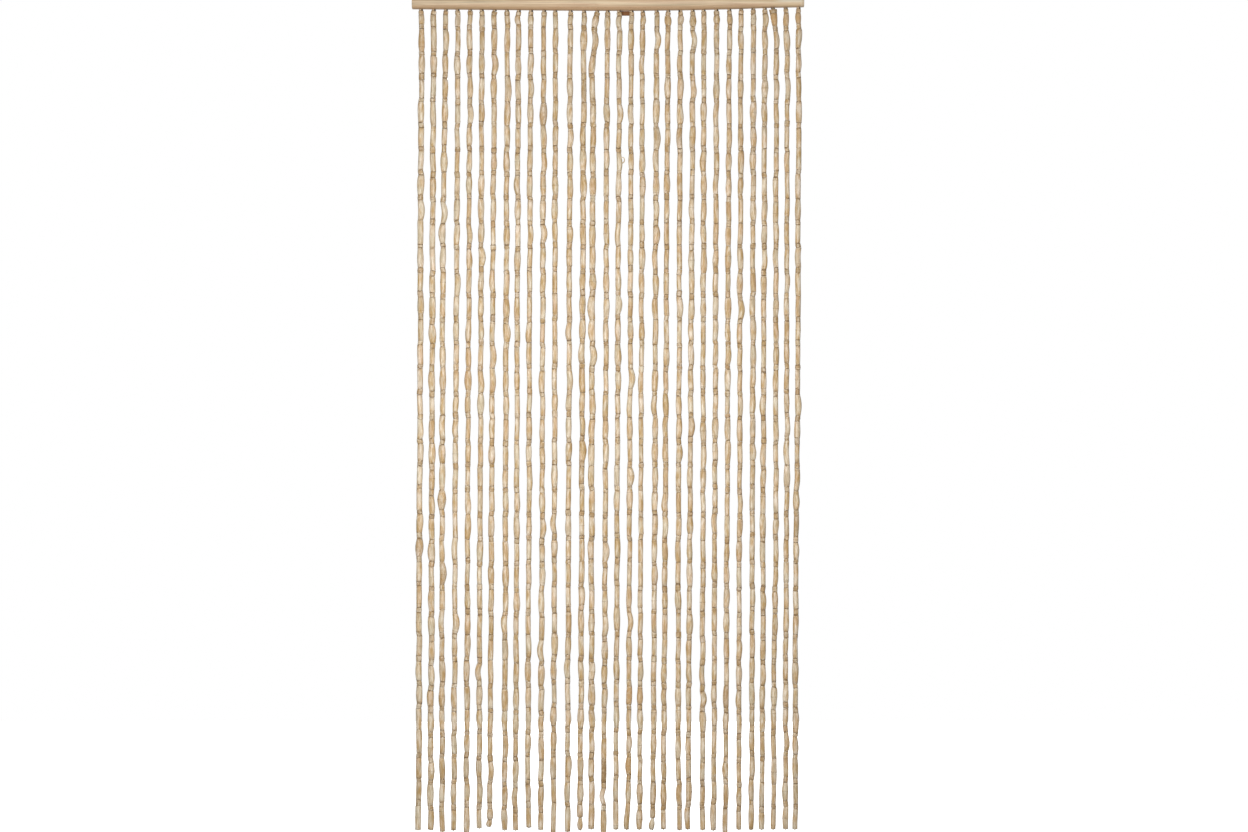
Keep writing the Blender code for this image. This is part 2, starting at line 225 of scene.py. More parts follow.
KINKS = (
    Kink(3, 60, 500, -4),
    Kink(3, 1250, 1750, 2.5),
    Kink(10, 1780, 1870, 3),
    Kink(15, 4, 30, -7.5),
    Kink(15, 88, 130, -7),
    Kink(15, 140, 200, 4.5),
    Kink(15, 1200, 1700, 2),
    Kink(18, 1790, 1880, -4),
    Kink(22, 1650, 1860, 5),
    Kink(30, 4, 34, 5.5),
    Kink(30, 34, 100, 2.5),
    Kink(30, 1250, 1550, -4.5),
    Kink(31, 4, 120, 3),
    Kink(31, 1150, 1500, -2),
    Kink(32, 850, 1250, -4),
)

STANDOUTS = tuple(
    Standout(*row)
    for row in (
        (1, 471, 2.5, 1.7), (1, 1256, 0.0, 3.0),
        (2, 749, 0.0, 3.0), (2, 1250, -1.0, 2.4),
        (3, 345, 0.0, 2.8), (3, 464, 4.5, 1.5), (3, 517, -2.0, 2.8),
        (3, 1134, 0.0, 3.8), (3, 1304, 3.0, 2.5),
        (4, 1407, 3.5, 2.0), (5, 870, -0.5, 2.6),
        (6, 579, 3.0, 2.0), (6, 921, 0.5, 3.0), (6, 1515, -4.0, 0.7),
        (7, 131, 4.0, 1.2), (7, 797, 3.0, 1.3),
        (8, 745, 1.5, 2.8), (9, 409, -2.5, 1.7),
        (11, 242, 0.0, 2.7), (11, 515, 4.0, 1.6), (11, 1196, 2.5, 2.2), (11, 1450, -4.0, 1.5),
        (12, 1190, -4.0, 1.5), (14, 1024, 2.5, 2.0),
        (15, 74, 3.0, 1.3), (15, 695, -3.0, 1.8), (15, 742, -2.5, 2.0), (15, 792, 4.0, 1.3),
        (16, 1231, 3.0, 2.5), (16, 1808, -4.5, 0.4),
        (17, 235, 3.0, 1.8), (17, 675, 2.5, 2.5),
        (18, 845, 4.0, 2.0), (18, 1072, 2.5, 2.5), (18, 1410, 3.5, 1.0), (18, 1738, -2.0, 1.2),
        (18, 1865, -1.5, 1.2, 0.7),
        (20, 75, 4.0, 1.3), (20, 287, 2.5, 2.0), (20, 510, 2.0, 2.3),
        (22, 1013, 2.0, 2.3), (23, 74, 4.0, 0.5), (23, 958, 2.5, 1.8),
        (24, 1597, 3.5, 1.4), (27, 680, 3.0, 1.4), (29, 907, -2.0, 1.7),
        (31, 62, 1.0, 1.6), (32, 909, 1.5, 1.8),
    )
)

DROP_BEADS = (
    DropBead(7, 17, 4.8, 6.6, -2.5),
    DropBead(14, 29, 3.8, 6.7, -0.8),
    DropBead(20, 27, 2.9, 7.0, -2.5),
)

ACCENTS = (
    Accent(1, 71, Stain.ORANGE, 0.55),
    Accent(1, 1250, Stain.BROWN, 0.35),
    Accent(3, 1298, Stain.BROWN, 0.4),
    Accent(11, 239, Stain.BROWN, 0.4),
    Accent(14, 175, Stain.BROWN, 0.4),
    Accent(14, 1061, Stain.BROWN, 0.4),
    Accent(16, 1748, Stain.BROWN, 0.8),
    Accent(18, 1578, Stain.ORANGE, 0.8),
    Accent(18, 1737, Stain.ORANGE, 0.8),
    Accent(19, 1578, Stain.ORANGE, 0.6),
    Accent(20, 294, Stain.BROWN, 0.35),
    Accent(21, 1771, Stain.BROWN, 0.5),
    Accent(22, 294, Stain.BROWN, 0.35),
    Accent(24, 1603, Stain.BROWN, 0.4),
    Accent(26, 1568, Stain.BROWN, 0.4),
    Accent(30, 5, Stain.BROWN, 0.6),
    Accent(30, 24, Stain.ORANGE, 0.7),
    Accent(30, 40, Stain.BROWN, 0.5),
    Accent(31, 20, Stain.ORANGE, 0.5),
    Accent(32, 20, Stain.ORANGE, 0.6),
    Accent(32, 1170, Stain.BROWN, 0.4),
)


def smooth_step(value: float) -> float:
    """Ease from 0 to 1."""
    value = min(max(value, 0.0), 1.0)
    return value * value * (3.0 - 2.0 * value)


def rail_lift(x: float) -> float:
    """Return how far the rail's underside lies above its even level, less than 0 in its sag."""
    return float(np.interp(x, [row.x for row in RAIL_RISE], [row.lift for row in RAIL_RISE]))


def unit(vectors: np.ndarray) -> np.ndarray:
    """Return vectors at length 1."""
    return vectors / np.linalg.norm(vectors, axis=-1, keepdims=True)


@dataclass(frozen=True)
class Bead:
    """One bead: where it starts and ends, how thick it is and how far it bows."""

    form: BeadForm
    top: float
    bottom: float
    end_radius: float
    belly_radius: float
    belly_at: float = 0.5
    bow_x: float = 0.0
    bow_y: float = 0.0


@dataclass(frozen=True)
class HungString:
    """One string as planned: its beads, and the joints above and below each of them."""

    number: int
    beads: tuple[Bead, ...]
    joints: tuple[Joint, ...]

    def points(self) -> np.ndarray:
        """Return the joints as points."""
        return np.array([(j.x, j.y, UNDERSIDE - j.depth) for j in self.joints])


@dataclass(frozen=True)
class StringPlan:
    """Lays out a string's beads under the rail, with the curtain's own sizes."""

    count: int = 32
    first_x: float = -428.5 * MM
    pitch: float = 27.9 * MM
    string_y: float = -10.5 * MM
    place_jitter: float = 0.6 * MM
    even_drop: float = 1884 * MM
    drop_jitter: float = 1.5 * MM
    side_drift: float = -7 * MM
    group: range = range(13, 30)
    group_shift: float = 8 * MM
    knot_length: float = 4.0 * MM
    top_bead_length: float = 9 * MM
    row_count: int = 33
    first_row: float = 43.6 * MM
    row_pitch: float = 55.8 * MM
    row_jitter: float = 4 * MM
    row_drift: float = 8 * MM
    short_length: tuple[float, float] = (8 * MM, 15 * MM)
    short_radius: tuple[float, float] = (5.5 * MM, 6.2 * MM)
    missing_short: float = 0.12
    end_radius: tuple[float, float] = (5.5 * MM, 6.2 * MM)
    belly_at: tuple[float, float] = (0.35, 0.65)
    drop_belly_at: float = 0.62
    wedge_string: int = 30
    wedge_radii: tuple[float, float, float] = (9.2 * MM, 8.4 * MM, 5.6 * MM)
    wander_x: float = 1.2 * MM
    wander_y: float = 0.4 * MM
    seed: int = 4100

    def line_x(self, row: StringRow, jitter: float, depth: float) -> float:
        """Return where a string's line runs at a depth.

        Args:
            row: The string's own row.
            jitter: How far its hole is off the even pitch.
            depth: The depth below the rail's underside.

        Returns:
            The place along X.
        """
        x = self.first_x + (row.string - 1) * self.pitch + row.place * MM + jitter
        x += (self.side_drift + row.lean * MM) * depth / self.even_drop
        if row.string in self.group:
            x += self.group_shift
        for kink in KINKS:
            if kink.string == row.string:
                start, end = kink.start * MM, kink.end * MM
                x += kink.shift * MM * smooth_step((depth - start) / (end - start))
        return x

    def short_bead(self, draw: random.Random, row: StringRow, top: float, bottom: float) -> Bead:
        """Draw a short bead between two depths."""
        radius = row.stout * draw.uniform(*self.short_radius)
        return Bead(BeadForm.SHORT, top, bottom, radius, radius)

    def long_bead(self, draw: random.Random, row: StringRow, top: float, bottom: float) -> Bead:
        """Draw a long bead: straight, swollen or bowed like a pod.

        Args:
            draw: The string's random numbers.
            row: The string's own row.
            top: The depth where the bead starts.
            bottom: The depth where it ends.

        Returns:
            The bead.
        """
        pick = draw.random()
        kind = BEAD_KINDS[-1]
        for candidate in BEAD_KINDS:
            if pick < candidate.share:
                kind = candidate
                break
            pick -= candidate.share
        end_radius = row.stout * draw.uniform(*self.end_radius)
        belly_radius = end_radius + draw.uniform(kind.swell_low, kind.swell_high)
        belly_at = draw.uniform(*self.belly_at)
        bow_x = draw.uniform(-kind.bow_x, kind.bow_x)
        bow_y = draw.uniform(-kind.bow_y, kind.bow_y)
        form = BeadForm.LONG
        return Bead(form, top, bottom, end_radius, belly_radius, belly_at, bow_x, bow_y)

    def last_beads(
        self, draw: random.Random, row: StringRow, top: float, drop: float
    ) -> list[Bead]:
        """Draw the beads below the last row: a long one, with a drop under it on some strings.

        Args:
            draw: The string's random numbers.
            row: The string's own row.
            top: The depth where these beads start.
            drop: The depth of the string's end.

        Returns:
            The beads, one or two.
        """
        for drip in DROP_BEADS:
            if drip.string == row.string:
                neck_at = drop - drip.length * MM
                above = self.long_bead(draw, row, top, neck_at)
                neck, radius, shift = drip.neck * MM, drip.radius * MM, drip.shift * MM
                form, belly_at = BeadForm.DROP, self.drop_belly_at
                return [above, Bead(form, neck_at, drop, neck, radius, belly_at, shift)]
        return [self.long_bead(draw, row, top, drop)]

    def shape_standout(self, number: int, bead: Bead) -> Bead:
        """Give a long bead the bow and swell of the standout that lies in it, if one does.

        Args:
            number: The string, from 1 at the left.
            bead: The bead.

        Returns:
            The bead, as it was or in its new shape.
        """
        if bead.form is not BeadForm.LONG:
            return bead
        for row in STANDOUTS:
            if row.string == number and bead.top < row.depth * MM <= bead.bottom:
                radius = bead.end_radius + row.swell * MM
                belly_at, bow = row.belly_at, row.bow * MM
                return replace(bead, belly_radius=radius, belly_at=belly_at, bow_x=bow)
        return bead

    def shape_wedge(self, beads: list[Bead]) -> None:
        """Turn the beads at the top of a string into a wide wedge, in place.

        Args:
            beads: The string's beads.
        """
        for index, (wide, narrow) in enumerate(zip(self.wedge_radii, self.wedge_radii[1:])):
            old = beads[index]
            beads[index] = Bead(BeadForm.WEDGE, old.top, old.bottom, narrow, wide)

    def hang(self, number: int) -> HungString:
        """Plan a string from the rail down.

        Args:
            number: The string, from 1 at the left.

        Returns:
            Its beads and joints.
        """
        draw = random.Random(self.seed + number)
        row = next((own for own in STRING_ROWS if own.string == number), StringRow(number))
        jitter = draw.uniform(-self.place_jitter, self.place_jitter)
        drop = row.drop * MM + draw.uniform(-self.drop_jitter, self.drop_jitter)
        slide = draw.uniform(-self.row_drift, self.row_drift)

        knot_top = CLEARANCE - rail_lift(self.line_x(row, jitter, 0.0))
        first_top = knot_top + self.knot_length
        beads = [self.short_bead(draw, row, first_top, first_top + self.top_bead_length)]
        for index in range(self.row_count):
            centre = self.first_row + index * self.row_pitch + slide * index / self.row_count
            centre += draw.uniform(-self.row_jitter, self.row_jitter)
            half = 0.5 * draw.uniform(*self.short_length)
            missing = draw.random() < self.missing_short
            if missing:
                half = 0.0
            beads.append(self.long_bead(draw, row, beads[-1].bottom, centre - half))
            if not missing:
                beads.append(self.short_bead(draw, row, centre - half, centre + half))
        beads += self.last_beads(draw, row, beads[-1].bottom, drop)
        beads = [self.shape_standout(number, bead) for bead in beads]
        if number == self.wedge_string:
            self.shape_wedge(beads)

        joints = []
        for depth in [beads[0].top] + [bead.bottom for bead in beads]:
            x = self.line_x(row, jitter, depth) + draw.uniform(-self.wander_x, self.wander_x)
            y = self.string_y + draw.uniform(-self.wander_y, self.wander_y)
            joints.append(Joint(x, y, depth))
        return HungString(number, tuple(beads), tuple(joints))


@dataclass
class RingMesh:
    """Gathers rings of points into one mesh that carries named vertex attributes."""

    attributes: tuple[str, ...] = ()
    points: list[np.ndarray] = field(default_factory=list)
    faces: list[tuple[int, ...]] = field(default_factory=list)
    values: dict[str, list[np.ndarray]] = field(default_factory=dict)
    count: int = 0

    def add(self, rings: np.ndarray, **values: np.ndarray) -> None:
        """Add a skin over rings of points, with a cap at each end.

        Args:
            rings: Points by ring, place on the ring, and X, Y, Z. Seen down the run from the
                first ring to the last, the places go round clockwise.
            values: An array like the rings' for each attribute.
        """
        ring_count, sides = rings.shape[:2]
        last = self.count + (ring_count - 1) * sides
        for here in range(self.count, last, sides):
            low = here + sides
            for side in range(sides):
                after = (side + 1) % sides
                self.faces.append((here + side, here + after, low + after, low + side))
        self.faces.append(tuple(range(self.count + sides - 1, self.count - 1, -1)))
        self.faces.append(tuple(range(last, last + sides)))
        self.points.append(rings.reshape(-1, 3))
        for name in self.attributes:
            self.values.setdefault(name, []).append(values[name].reshape(-1, 3))
        self.count += ring_count * sides

    def build(self, name: str, outward: bool = True) -> bpy.types.Object:
        """Make the object and shade it smooth.

        Args:
            name: The object's name.
            outward: Whether the faces are turned outward first.

        Returns:
            The object, linked to the scene.
        """
        mesh = bpy.data.meshes.new(name)
        mesh.from_pydata(np.concatenate(self.points).tolist(), [], self.faces)
        for attribute in self.attributes:
            layer = mesh.attributes.new(attribute, "FLOAT_VECTOR", "POINT")
            layer.data.foreach_set("vector", np.concatenate(self.values[attribute]).ravel())
        if outward:
            turned = bmesh.new()
            turned.from_mesh(mesh)
            bmesh.ops.recalc_face_normals(turned, faces=turned.faces)
            turned.to_mesh(mesh)
            turned.free()
        mesh.shade_smooth()
        thing = bpy.data.objects.new(name, mesh)
        bpy.context.scene.collection.objects.link(thing)
        return thing


def tube_rings(path: np.ndarray, radii: np.ndarray, sides: int) -> np.ndarray:
    """Return rings round a path.

    Args:
        path: The path's points.
        radii: The radius at each point.
        sides: The points on a ring.

    Returns:
        Points by ring, place on the ring, and X, Y, Z.
    """
    along = unit(np.gradient(path, axis=0))
    across = np.zeros_like(along)
    side = np.array([0.0, 1.0, 0.0])
    for index, direction in enumerate(along):
        side = side - direction * float(side @ direction)
        side = side / np.linalg.norm(side)
        across[index] = side
    other = np.cross(along, across)
    angles = np.linspace(0.0, 2.0 * math.pi, sides, endpoint=False)[None, :, None]
    spokes = np.cos(angles) * across[:, None, :] + np.sin(angles) * other[:, None, :]
    return path[:, None, :] + radii[:, None, None] * spokes


def dress(thing: bpy.types.Object, material: bpy.types.Material, slot: str, *nodes: str) -> None:
    """Give a piece its material and body, hide the CAD nodes that it stands for, and log its
    slot.

    Args:
        thing: The piece.
        material: Its material.
        slot: The record's material slot.
        nodes: The CAD nodes that it stands for.
    """
    thing.data.materials.append(material)
    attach(thing, BODY)
    if nodes:
        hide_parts(*nodes)
    triangles = sum(len(face.vertices) - 2 for face in thing.data.polygons)
    LOG.info("%s: %d triangles, slot %s", thing.name, triangles, slot)


class NodeBench:
    """Lays out and links the nodes of one material."""

    def __init__(self, name: str) -> None:
        """Start a material with its Principled shader.

        Args:
            name: The material's name.
        """
        self.material = bpy.data.materials.new(name)
        self.material.use_nodes = True
        self.tree = self.material.node_tree
        self.shader = self.tree.nodes["Principled BSDF"]

    def plug(self, socket: Socket, value: Value) -> None:
        """Link a socket to an output, or set its value.

        Args:
            socket: The input.
            value: An output, a number, three numbers or a colour.
        """
        if isinstance(value, Socket):
            self.tree.links.new(value, socket)
        elif socket.type == "RGBA":
            socket.default_value = (*value, 1.0)
        else:
            socket.default_value = value

    def add(
        self, kind: str, output: int | str, plugs: dict[int | str, Value], **settings: str
    ) -> Socket:
        """Add a node.

        Args:
            kind: Its type.
            output: The output that is wanted.
            plugs: What goes into each of its inputs.
            settings: Its own settings.

        Returns:
            The output.
        """
        node = self.tree.nodes.new(f"ShaderNode{kind}")
        for name, setting in settings.items():
            setattr(node, name, setting)
        for key, value in plugs.items():
            self.plug(node.inputs[key], value)
        return node.outputs[output]

    def attribute(self, name: str) -> Socket:
        """Return a vertex attribute as a vector."""
        return self.add("Attribute", "Vector", {}, attribute_name=name)

    def place(self) -> Socket:
        """Return the place on the piece in its own metres."""
        return self.add("TexCoord", "Object", {})

    def split(self, vector: Socket) -> tuple[Socket, ...]:
        """Return a vector's three parts."""
        return tuple(self.add("SeparateXYZ", 0, {0: vector}).node.outputs)

    def stretch(self, vector: Socket, scale: Point) -> Socket:
        """Return a vector scaled part by part."""
        return self.add("VectorMath", 0, {0: vector, 1: scale}, operation="MULTIPLY")

    def shift(self, vector: Socket, by: Point) -> Socket:
        """Return a vector moved by another."""
        return self.add("VectorMath", 0, {0: vector, 1: by}, operation="ADD")

    def noise(self, vector: Socket, grain: Grain) -> Socket:
        """Return a noise from 0 to 1, mostly between 0.3 and 0.7.

        Args:
            vector: Where it is read.
            grain: Its stretch, fineness and layers.

        Returns:
            The noise.
        """
        plugs = {
            "Vector": self.stretch(vector, grain.stretch),
            "Scale": grain.scale,
            "Detail": grain.detail,
            "Roughness": grain.rough,
        }
        return self.add("TexNoise", "Fac", plugs)

    def cells(self, vector: Socket, scale: float) -> Socket:
        """Return the distance to the nearest of many scattered points."""
        return self.add("TexVoronoi", "Distance", {"Vector": vector, "Scale": scale})

    def sum(self, operation: str, *values: Value) -> Socket:
        """Return the result of a sum of one or two numbers."""
        return self.add("Math", 0, dict(enumerate(values)), operation=operation)

    def product(self, first: Value, *others: Value) -> Value:
        """Return a number multiplied by others, one after another.

        Args:
            first: The number.
            others: What it is multiplied by.

        Returns:
            The product.
        """
        for other in others:
            first = self.sum("MULTIPLY", first, other)
        return first

    def ease(self, value: Socket, ease: Ease) -> Socket:
        """Return a value mapped smoothly and held at the ends of its range."""
        plugs = {0: value, 1: ease.low, 2: ease.high, 3: ease.start, 4: ease.end}
        return self.add("MapRange", 0, plugs, interpolation_type="SMOOTHSTEP")

    def ramp(self, value: Socket, stops: Sequence[tuple[float, Colour]]) -> Socket:
        """Return a colour from a run of colours.

        Args:
            value: The place on the run, from 0 to 1.
            stops: The places and their colours.

        Returns:
            The colour.
        """
        output = self.add("ValToRGB", 0, {0: value})
        run = output.node.color_ramp.elements
        while len(run) < len(stops):
            run.new(1.0)
        for element, (place, colour) in zip(run, stops):
            element.position = place
            element.color = (*colour, 1.0)
        return output

    def blend(self, share: Value, first: Value, second: Value, kind: str = "MIX") -> Socket:
        """Return a mix of two colours, with a share of the second."""
        # The node's inputs 6 and 7 and its output 2 are the ones for colours.
        plugs = {0: share, 6: first, 7: second}
        return self.add("Mix", 2, plugs, data_type="RGBA", blend_type=kind)

    def brighten(self, colour: Socket, value: Value, depth: Value = 1.0) -> Socket:
        """Return a colour made brighter or darker by a factor, and deeper or paler by another."""
        plugs = {"Value": value, "Saturation": depth, "Color": colour}
        return self.add("HueSaturation", 0, plugs)

    def bump(self, height: Socket, distance: float, strength: float) -> None:
        """Give the shader a relief."""
        plugs = {"Strength": strength, "Distance": distance, "Height": height}
        self.plug(self.shader.inputs["Normal"], self.add("Bump", 0, plugs))

    def finish(self, colour: Value, rough: Value, gloss: float) -> bpy.types.Material:
        """Set the shader's colour, roughness and gloss.

        Args:
            colour: The colour.
            rough: The roughness.
            gloss: How strongly it reflects.

        Returns:
            The material.
        """
        self.plug(self.shader.inputs["Base Color"], colour)
        self.plug(self.shader.inputs["Roughness"], rough)
        self.plug(self.shader.inputs["Specular IOR Level"], gloss)
        return self.material


@dataclass(frozen=True)
class CaneFinish:
    """Bleached cane root: straw to tan, streaked along the bead, brown at its ends."""

    straw: Colour = (0.72, 0.61, 0.44)
    cream: Colour = (0.75, 0.61, 0.43)
    tan: Colour = (0.67, 0.48, 0.265)
    pink: Colour = (0.66, 0.47, 0.29)
    rosy: Colour = (1.006, 0.98, 0.995)
    sappy: Colour = (0.994, 0.999, 0.985)
    pale: Colour = (0.84, 0.71, 0.52)
    node_brown: Colour = (0.40, 0.245, 0.105)
    end_brown: Colour = (0.215, 0.12, 0.05)
    bore_brown: Colour = (0.18, 0.10, 0.045)
    orange: Colour = (0.58, 0.35, 0.15)
    brown: Colour = (0.37, 0.225, 0.10)

    streaks: Grain = Grain((1.0, 1.0, 0.07), 900.0, 3.0, 0.6)
    flanks: Grain = Grain((1.0, 1.0, 0.12), 230.0)
    drift: Grain = Grain((1.0, 1.0, 0.4), 90.0)
    sweep: Grain = Grain((1.0, 1.0, 0.4), 55.0, 1.0)
    cast: Grain = Grain((1.0, 1.0, 0.7), 21.0, 1.0)
    mottle: Grain = Grain(scale=170.0, detail=3.0, rough=0.6)
    soak: Grain = Grain(scale=150.0)
    soak_shift: Point = (0.31, 0.17, 0.0)
    dot_scale: float = 520.0

    hue_drift: Ease = Ease(-0.35, 0.35)
    streak_tone: Ease = Ease(0.78, 1.18)
    flank_tone: Ease = Ease(0.81, 1.15)
    sweep_tone: Ease = Ease(0.94, 1.06)
    depth_of_tone: Ease = Ease(1.24, 0.71, 0.7, 1.3)
    cast_share: Ease = Ease(0.0, 1.0)
    stain_patches: Ease = Ease(0.3, 1.2, 0.3, 0.6)
    blotch_reach: Ease = Ease(1.0, 0.1, 0.5, 7.0)
    blotches: Ease = Ease(0.0, 0.75, 0.5, 0.62)
    fleck_reach: Ease = Ease(1.0, 0.0, 0.8, 4.0)
    flecks: Ease = Ease(0.0, 1.0, 0.47, 0.37)
    node_reach: Ease = Ease(1.0, 0.0, 0.2, 1.3)
    dots: Ease = Ease(0.85, 0.15, 0.25, 0.5)
    end_reach: Ease = Ease(1.0, 0.0, 0.2, 1.9)
    soaked: Ease = Ease(0.0, 0.8, 0.42, 0.58)
    bore_share: Ease = Ease(0.0, 0.9, 0.1, 1.0)
    roughness: Ease = Ease(0.55, 0.42)
    relief: float = 0.25 * MM
    relief_strength: float = 0.5
    gloss: float = 0.4

    def clean(
        self, bench: NodeBench, space: Socket, streaks: Socket, tone: Socket, hue: Socket
    ) -> Socket:
        """Return a clean bead's colour.

        Args:
            bench: The material's nodes.
            space: The place on the bead.
            streaks: The noise of its streaks.
            tone: How bright the bead is.
            hue: Its hue, from 0 for grey straw to 1 for pink.

        Returns:
            The colour.
        """
        drift = bench.ease(bench.noise(space, self.drift), self.hue_drift)
        hues = ((0.0, self.straw), (0.35, self.cream), (0.7, self.tan), (1.0, self.pink))
        colour = bench.ramp(bench.sum("ADD", hue, drift), hues)
        shade = bench.product(
            tone,
            bench.ease(streaks, self.streak_tone),
            bench.ease(bench.noise(space, self.flanks), self.flank_tone),
            bench.ease(bench.noise(space, self.sweep), self.sweep_tone),
        )
        colour = bench.brighten(colour, shade, bench.ease(shade, self.depth_of_tone))
        cast = bench.ease(bench.noise(space, self.cast), self.cast_share)
        return bench.blend(1.0, colour, bench.blend(cast, self.rosy, self.sappy), "MULTIPLY")

    def stained(self, bench: NodeBench, colour: Socket, stain: Socket, mottle: Socket) -> Socket:
        """Return the colour with the bead's stain, in patches.

        Args:
            bench: The material's nodes.
            colour: The clean colour.
            stain: The stain, from -1 for brown to 1 for orange.
            mottle: The noise of the patches.

        Returns:
            The colour.
        """
        warm = bench.product(stain, bench.ease(mottle, self.stain_patches))
        colour = bench.blend(bench.sum("MAXIMUM", warm, 0.0), colour, self.orange)
        dark = bench.sum("MAXIMUM", bench.product(warm, -1.0), 0.0)
        return bench.blend(dark, colour, self.brown)

    def worn(self, bench: NodeBench, colour: Socket, space: Socket, mottle: Socket) -> Socket:
        """Return the colour with blotches, flecks and dirt at the ends and node ring, and a
        darker bore.

        Args:
            bench: The material's nodes.
            colour: The stained colour.
            space: The place on the bead.
            mottle: The noise of the blotches and flecks.

        Returns:
            The colour.
        """
        to_end, to_node, cut = bench.split(bench.attribute("bead_wear"))
        near_end = bench.ease(to_end, self.blotch_reach)
        blotch = bench.product(near_end, bench.ease(mottle, self.blotches))
        colour = bench.blend(blotch, colour, self.node_brown)
        by_end = bench.ease(to_end, self.fleck_reach)
        fleck = bench.product(by_end, bench.ease(mottle, self.flecks))
        colour = bench.blend(fleck, colour, self.pale)

        dots = bench.ease(bench.cells(space, self.dot_scale), self.dots)
        ring = bench.product(bench.ease(to_node, self.node_reach), dots)
        colour = bench.blend(ring, colour, self.end_brown)
        soak = bench.noise(bench.shift(space, self.soak_shift), self.soak)
        ends = bench.product(bench.ease(to_end, self.end_reach), bench.ease(soak, self.soaked))
        colour = bench.blend(ends, colour, self.end_brown)
        return bench.blend(bench.ease(cut, self.bore_share), colour, self.bore_brown)

    def make(self) -> bpy.types.Material:
        """Lay out the nodes.

        Returns:
            The material.
        """
        bench = NodeBench("cane")
        space = bench.attribute("bead_space")
        tone, hue, stain = bench.split(bench.attribute("bead_look"))
        streaks, mottle = bench.noise(space, self.streaks), bench.noise(space, self.mottle)
        colour = self.clean(bench, space, streaks, tone, hue)
        colour = self.stained(bench, colour, stain, mottle)
        colour = self.worn(bench, colour, space, mottle)
        bench.bump(bench.sum("ADD", streaks, mottle), self.relief, self.relief_strength)
        return bench.finish(colour, bench.ease(streaks, self.roughness), self.gloss)


@dataclass(frozen=True)
class WoodFinish:
    """Pale planed softwood: lengthwise grain, rings on the end faces, thin satin lacquer."""

    pink: Colour = (0.63, 0.42, 0.265)
    straw: Colour = (0.74, 0.57, 0.365)
    grey: Colour = (0.52, 0.40, 0.25)
    # Late wood's colour, for the grain and also for the painted shade at the top and bottom of
    # the round front.
    late_wood_and_shade: Colour = (0.50, 0.31, 0.17)
    # Light colour: a real rub near the right end, and the painted highlight along the middle of
    # the round front.
    rub_and_highlight: Colour = (0.86, 0.73, 0.54)
    sanded: Colour = (0.63, 0.50, 0.35)
    pale_patch: Colour = (0.82, 0.76, 0.62)

    broad: Grain = Grain((4.0, 170.0, 170.0), detail=3.0, rough=0.55)
    fine: Grain = Grain((22.0, 900.0, 900.0), rough=0.6)
    drift: Grain = Grain((3.0, 30.0, 30.0), detail=1.0)
    rings: Grain = Grain((3.0, 340.0, 340.0))
    patches: Grain = Grain((38.0, 90.0, 90.0))

    ring_share: Ease = Ease(0.0, 0.5, 0.54, 0.66)
    patch_share: Ease = Ease(0.0, 0.4, 0.6, 0.75)
    fine_tone: Ease = Ease(0.88, 1.1)
    drift_tone: Ease = Ease(0.9, 1.1)
    # Painted highlight: a light band along the middle of the round front that waves a little.
    highlight_wave: Ease = Ease(-1.5 * MM, 1.5 * MM)
    highlight_at: float = -0.8 * MM
    highlight_share: Ease = Ease(0.3, 0.0, 0.0, 3.0 * MM)
    # Painted shade: the round front darker towards its top and towards its underside.
    upper_shade_share: Ease = Ease(0.0, 0.35, 1.5 * MM, 6.0 * MM)
    lower_shade_share: Ease = Ease(0.0, 0.75, -4.0 * MM, -13.0 * MM)
    pale_patch_up: Ease = Ease(0.0, 0.65, -2.0 * MM, 3.0 * MM)
    pale_patch_along: Ease = Ease(0.0, 1.0, 375.0 * MM, 405.0 * MM)
    pale_patch_out: Ease = Ease(1.0, 0.0, -15.0 * MM, -6.0 * MM)
    rub_at: float = 443.0 * MM
    rub_width: float = 1.1 * MM
    rub_share: float = 0.8
    sanded_share: float = 0.6
    roughness: Ease = Ease(0.5, 0.4)
    relief: float = 0.15 * MM
    relief_strength: float = 0.4
    gloss: float = 0.4

    def make(self) -> bpy.types.Material:
        """Lay out the nodes.

        Returns:
            The material.
        """
        bench = NodeBench("softwood")
        place = bench.place()
        along, out, up = bench.split(place)
        fine = bench.noise(place, self.fine)
        drift = bench.noise(place, self.drift)

        hues = ((0.36, self.grey), (0.5, self.straw), (0.64, self.pink))
        colour = bench.ramp(bench.noise(place, self.broad), hues)
        for grain, share in ((self.rings, self.ring_share), (self.patches, self.patch_share)):
            late = bench.ease(bench.noise(place, grain), share)
            colour = bench.blend(late, colour, self.late_wood_and_shade)
        tone = bench.product(bench.ease(fine, self.fine_tone), bench.ease(drift, self.drift_tone))
        colour = bench.brighten(colour, tone)

        # Painted highlight along the middle of the round front.
        waved = bench.sum("ADD", up, bench.ease(drift, self.highlight_wave))
        off_highlight = bench.sum("ABSOLUTE", bench.sum("SUBTRACT", waved, self.highlight_at))
        colour = bench.blend(bench.ease(off_highlight, self.highlight_share), colour, self.rub_and_highlight)
        # Painted shade on the round front, darker towards its top and towards its underside.
        for share in (self.upper_shade_share, self.lower_shade_share):
            colour = bench.blend(bench.ease(up, share), colour, self.late_wood_and_shade)
        # Paler on the upper front near the right end.
        high = bench.ease(up, self.pale_patch_up)
        far = bench.ease(along, self.pale_patch_along)
        patch = bench.product(high, far, bench.ease(out, self.pale_patch_out))
        colour = bench.blend(patch, colour, self.pale_patch)

        past = Ease(0.0, self.sanded_share, self.rub_at, self.rub_at + self.rub_width)
        colour = bench.blend(bench.ease(along, past), colour, self.sanded)
        off_rub = bench.sum("ABSOLUTE", bench.sum("SUBTRACT", along, self.rub_at))
        near = Ease(self.rub_share, 0.0, 0.0, self.rub_width)
        colour = bench.blend(bench.ease(off_rub, near), colour, self.rub_and_highlight)
        bench.bump(fine, self.relief, self.relief_strength)
        return bench.finish(colour, bench.ease(fine, self.roughness), self.gloss)


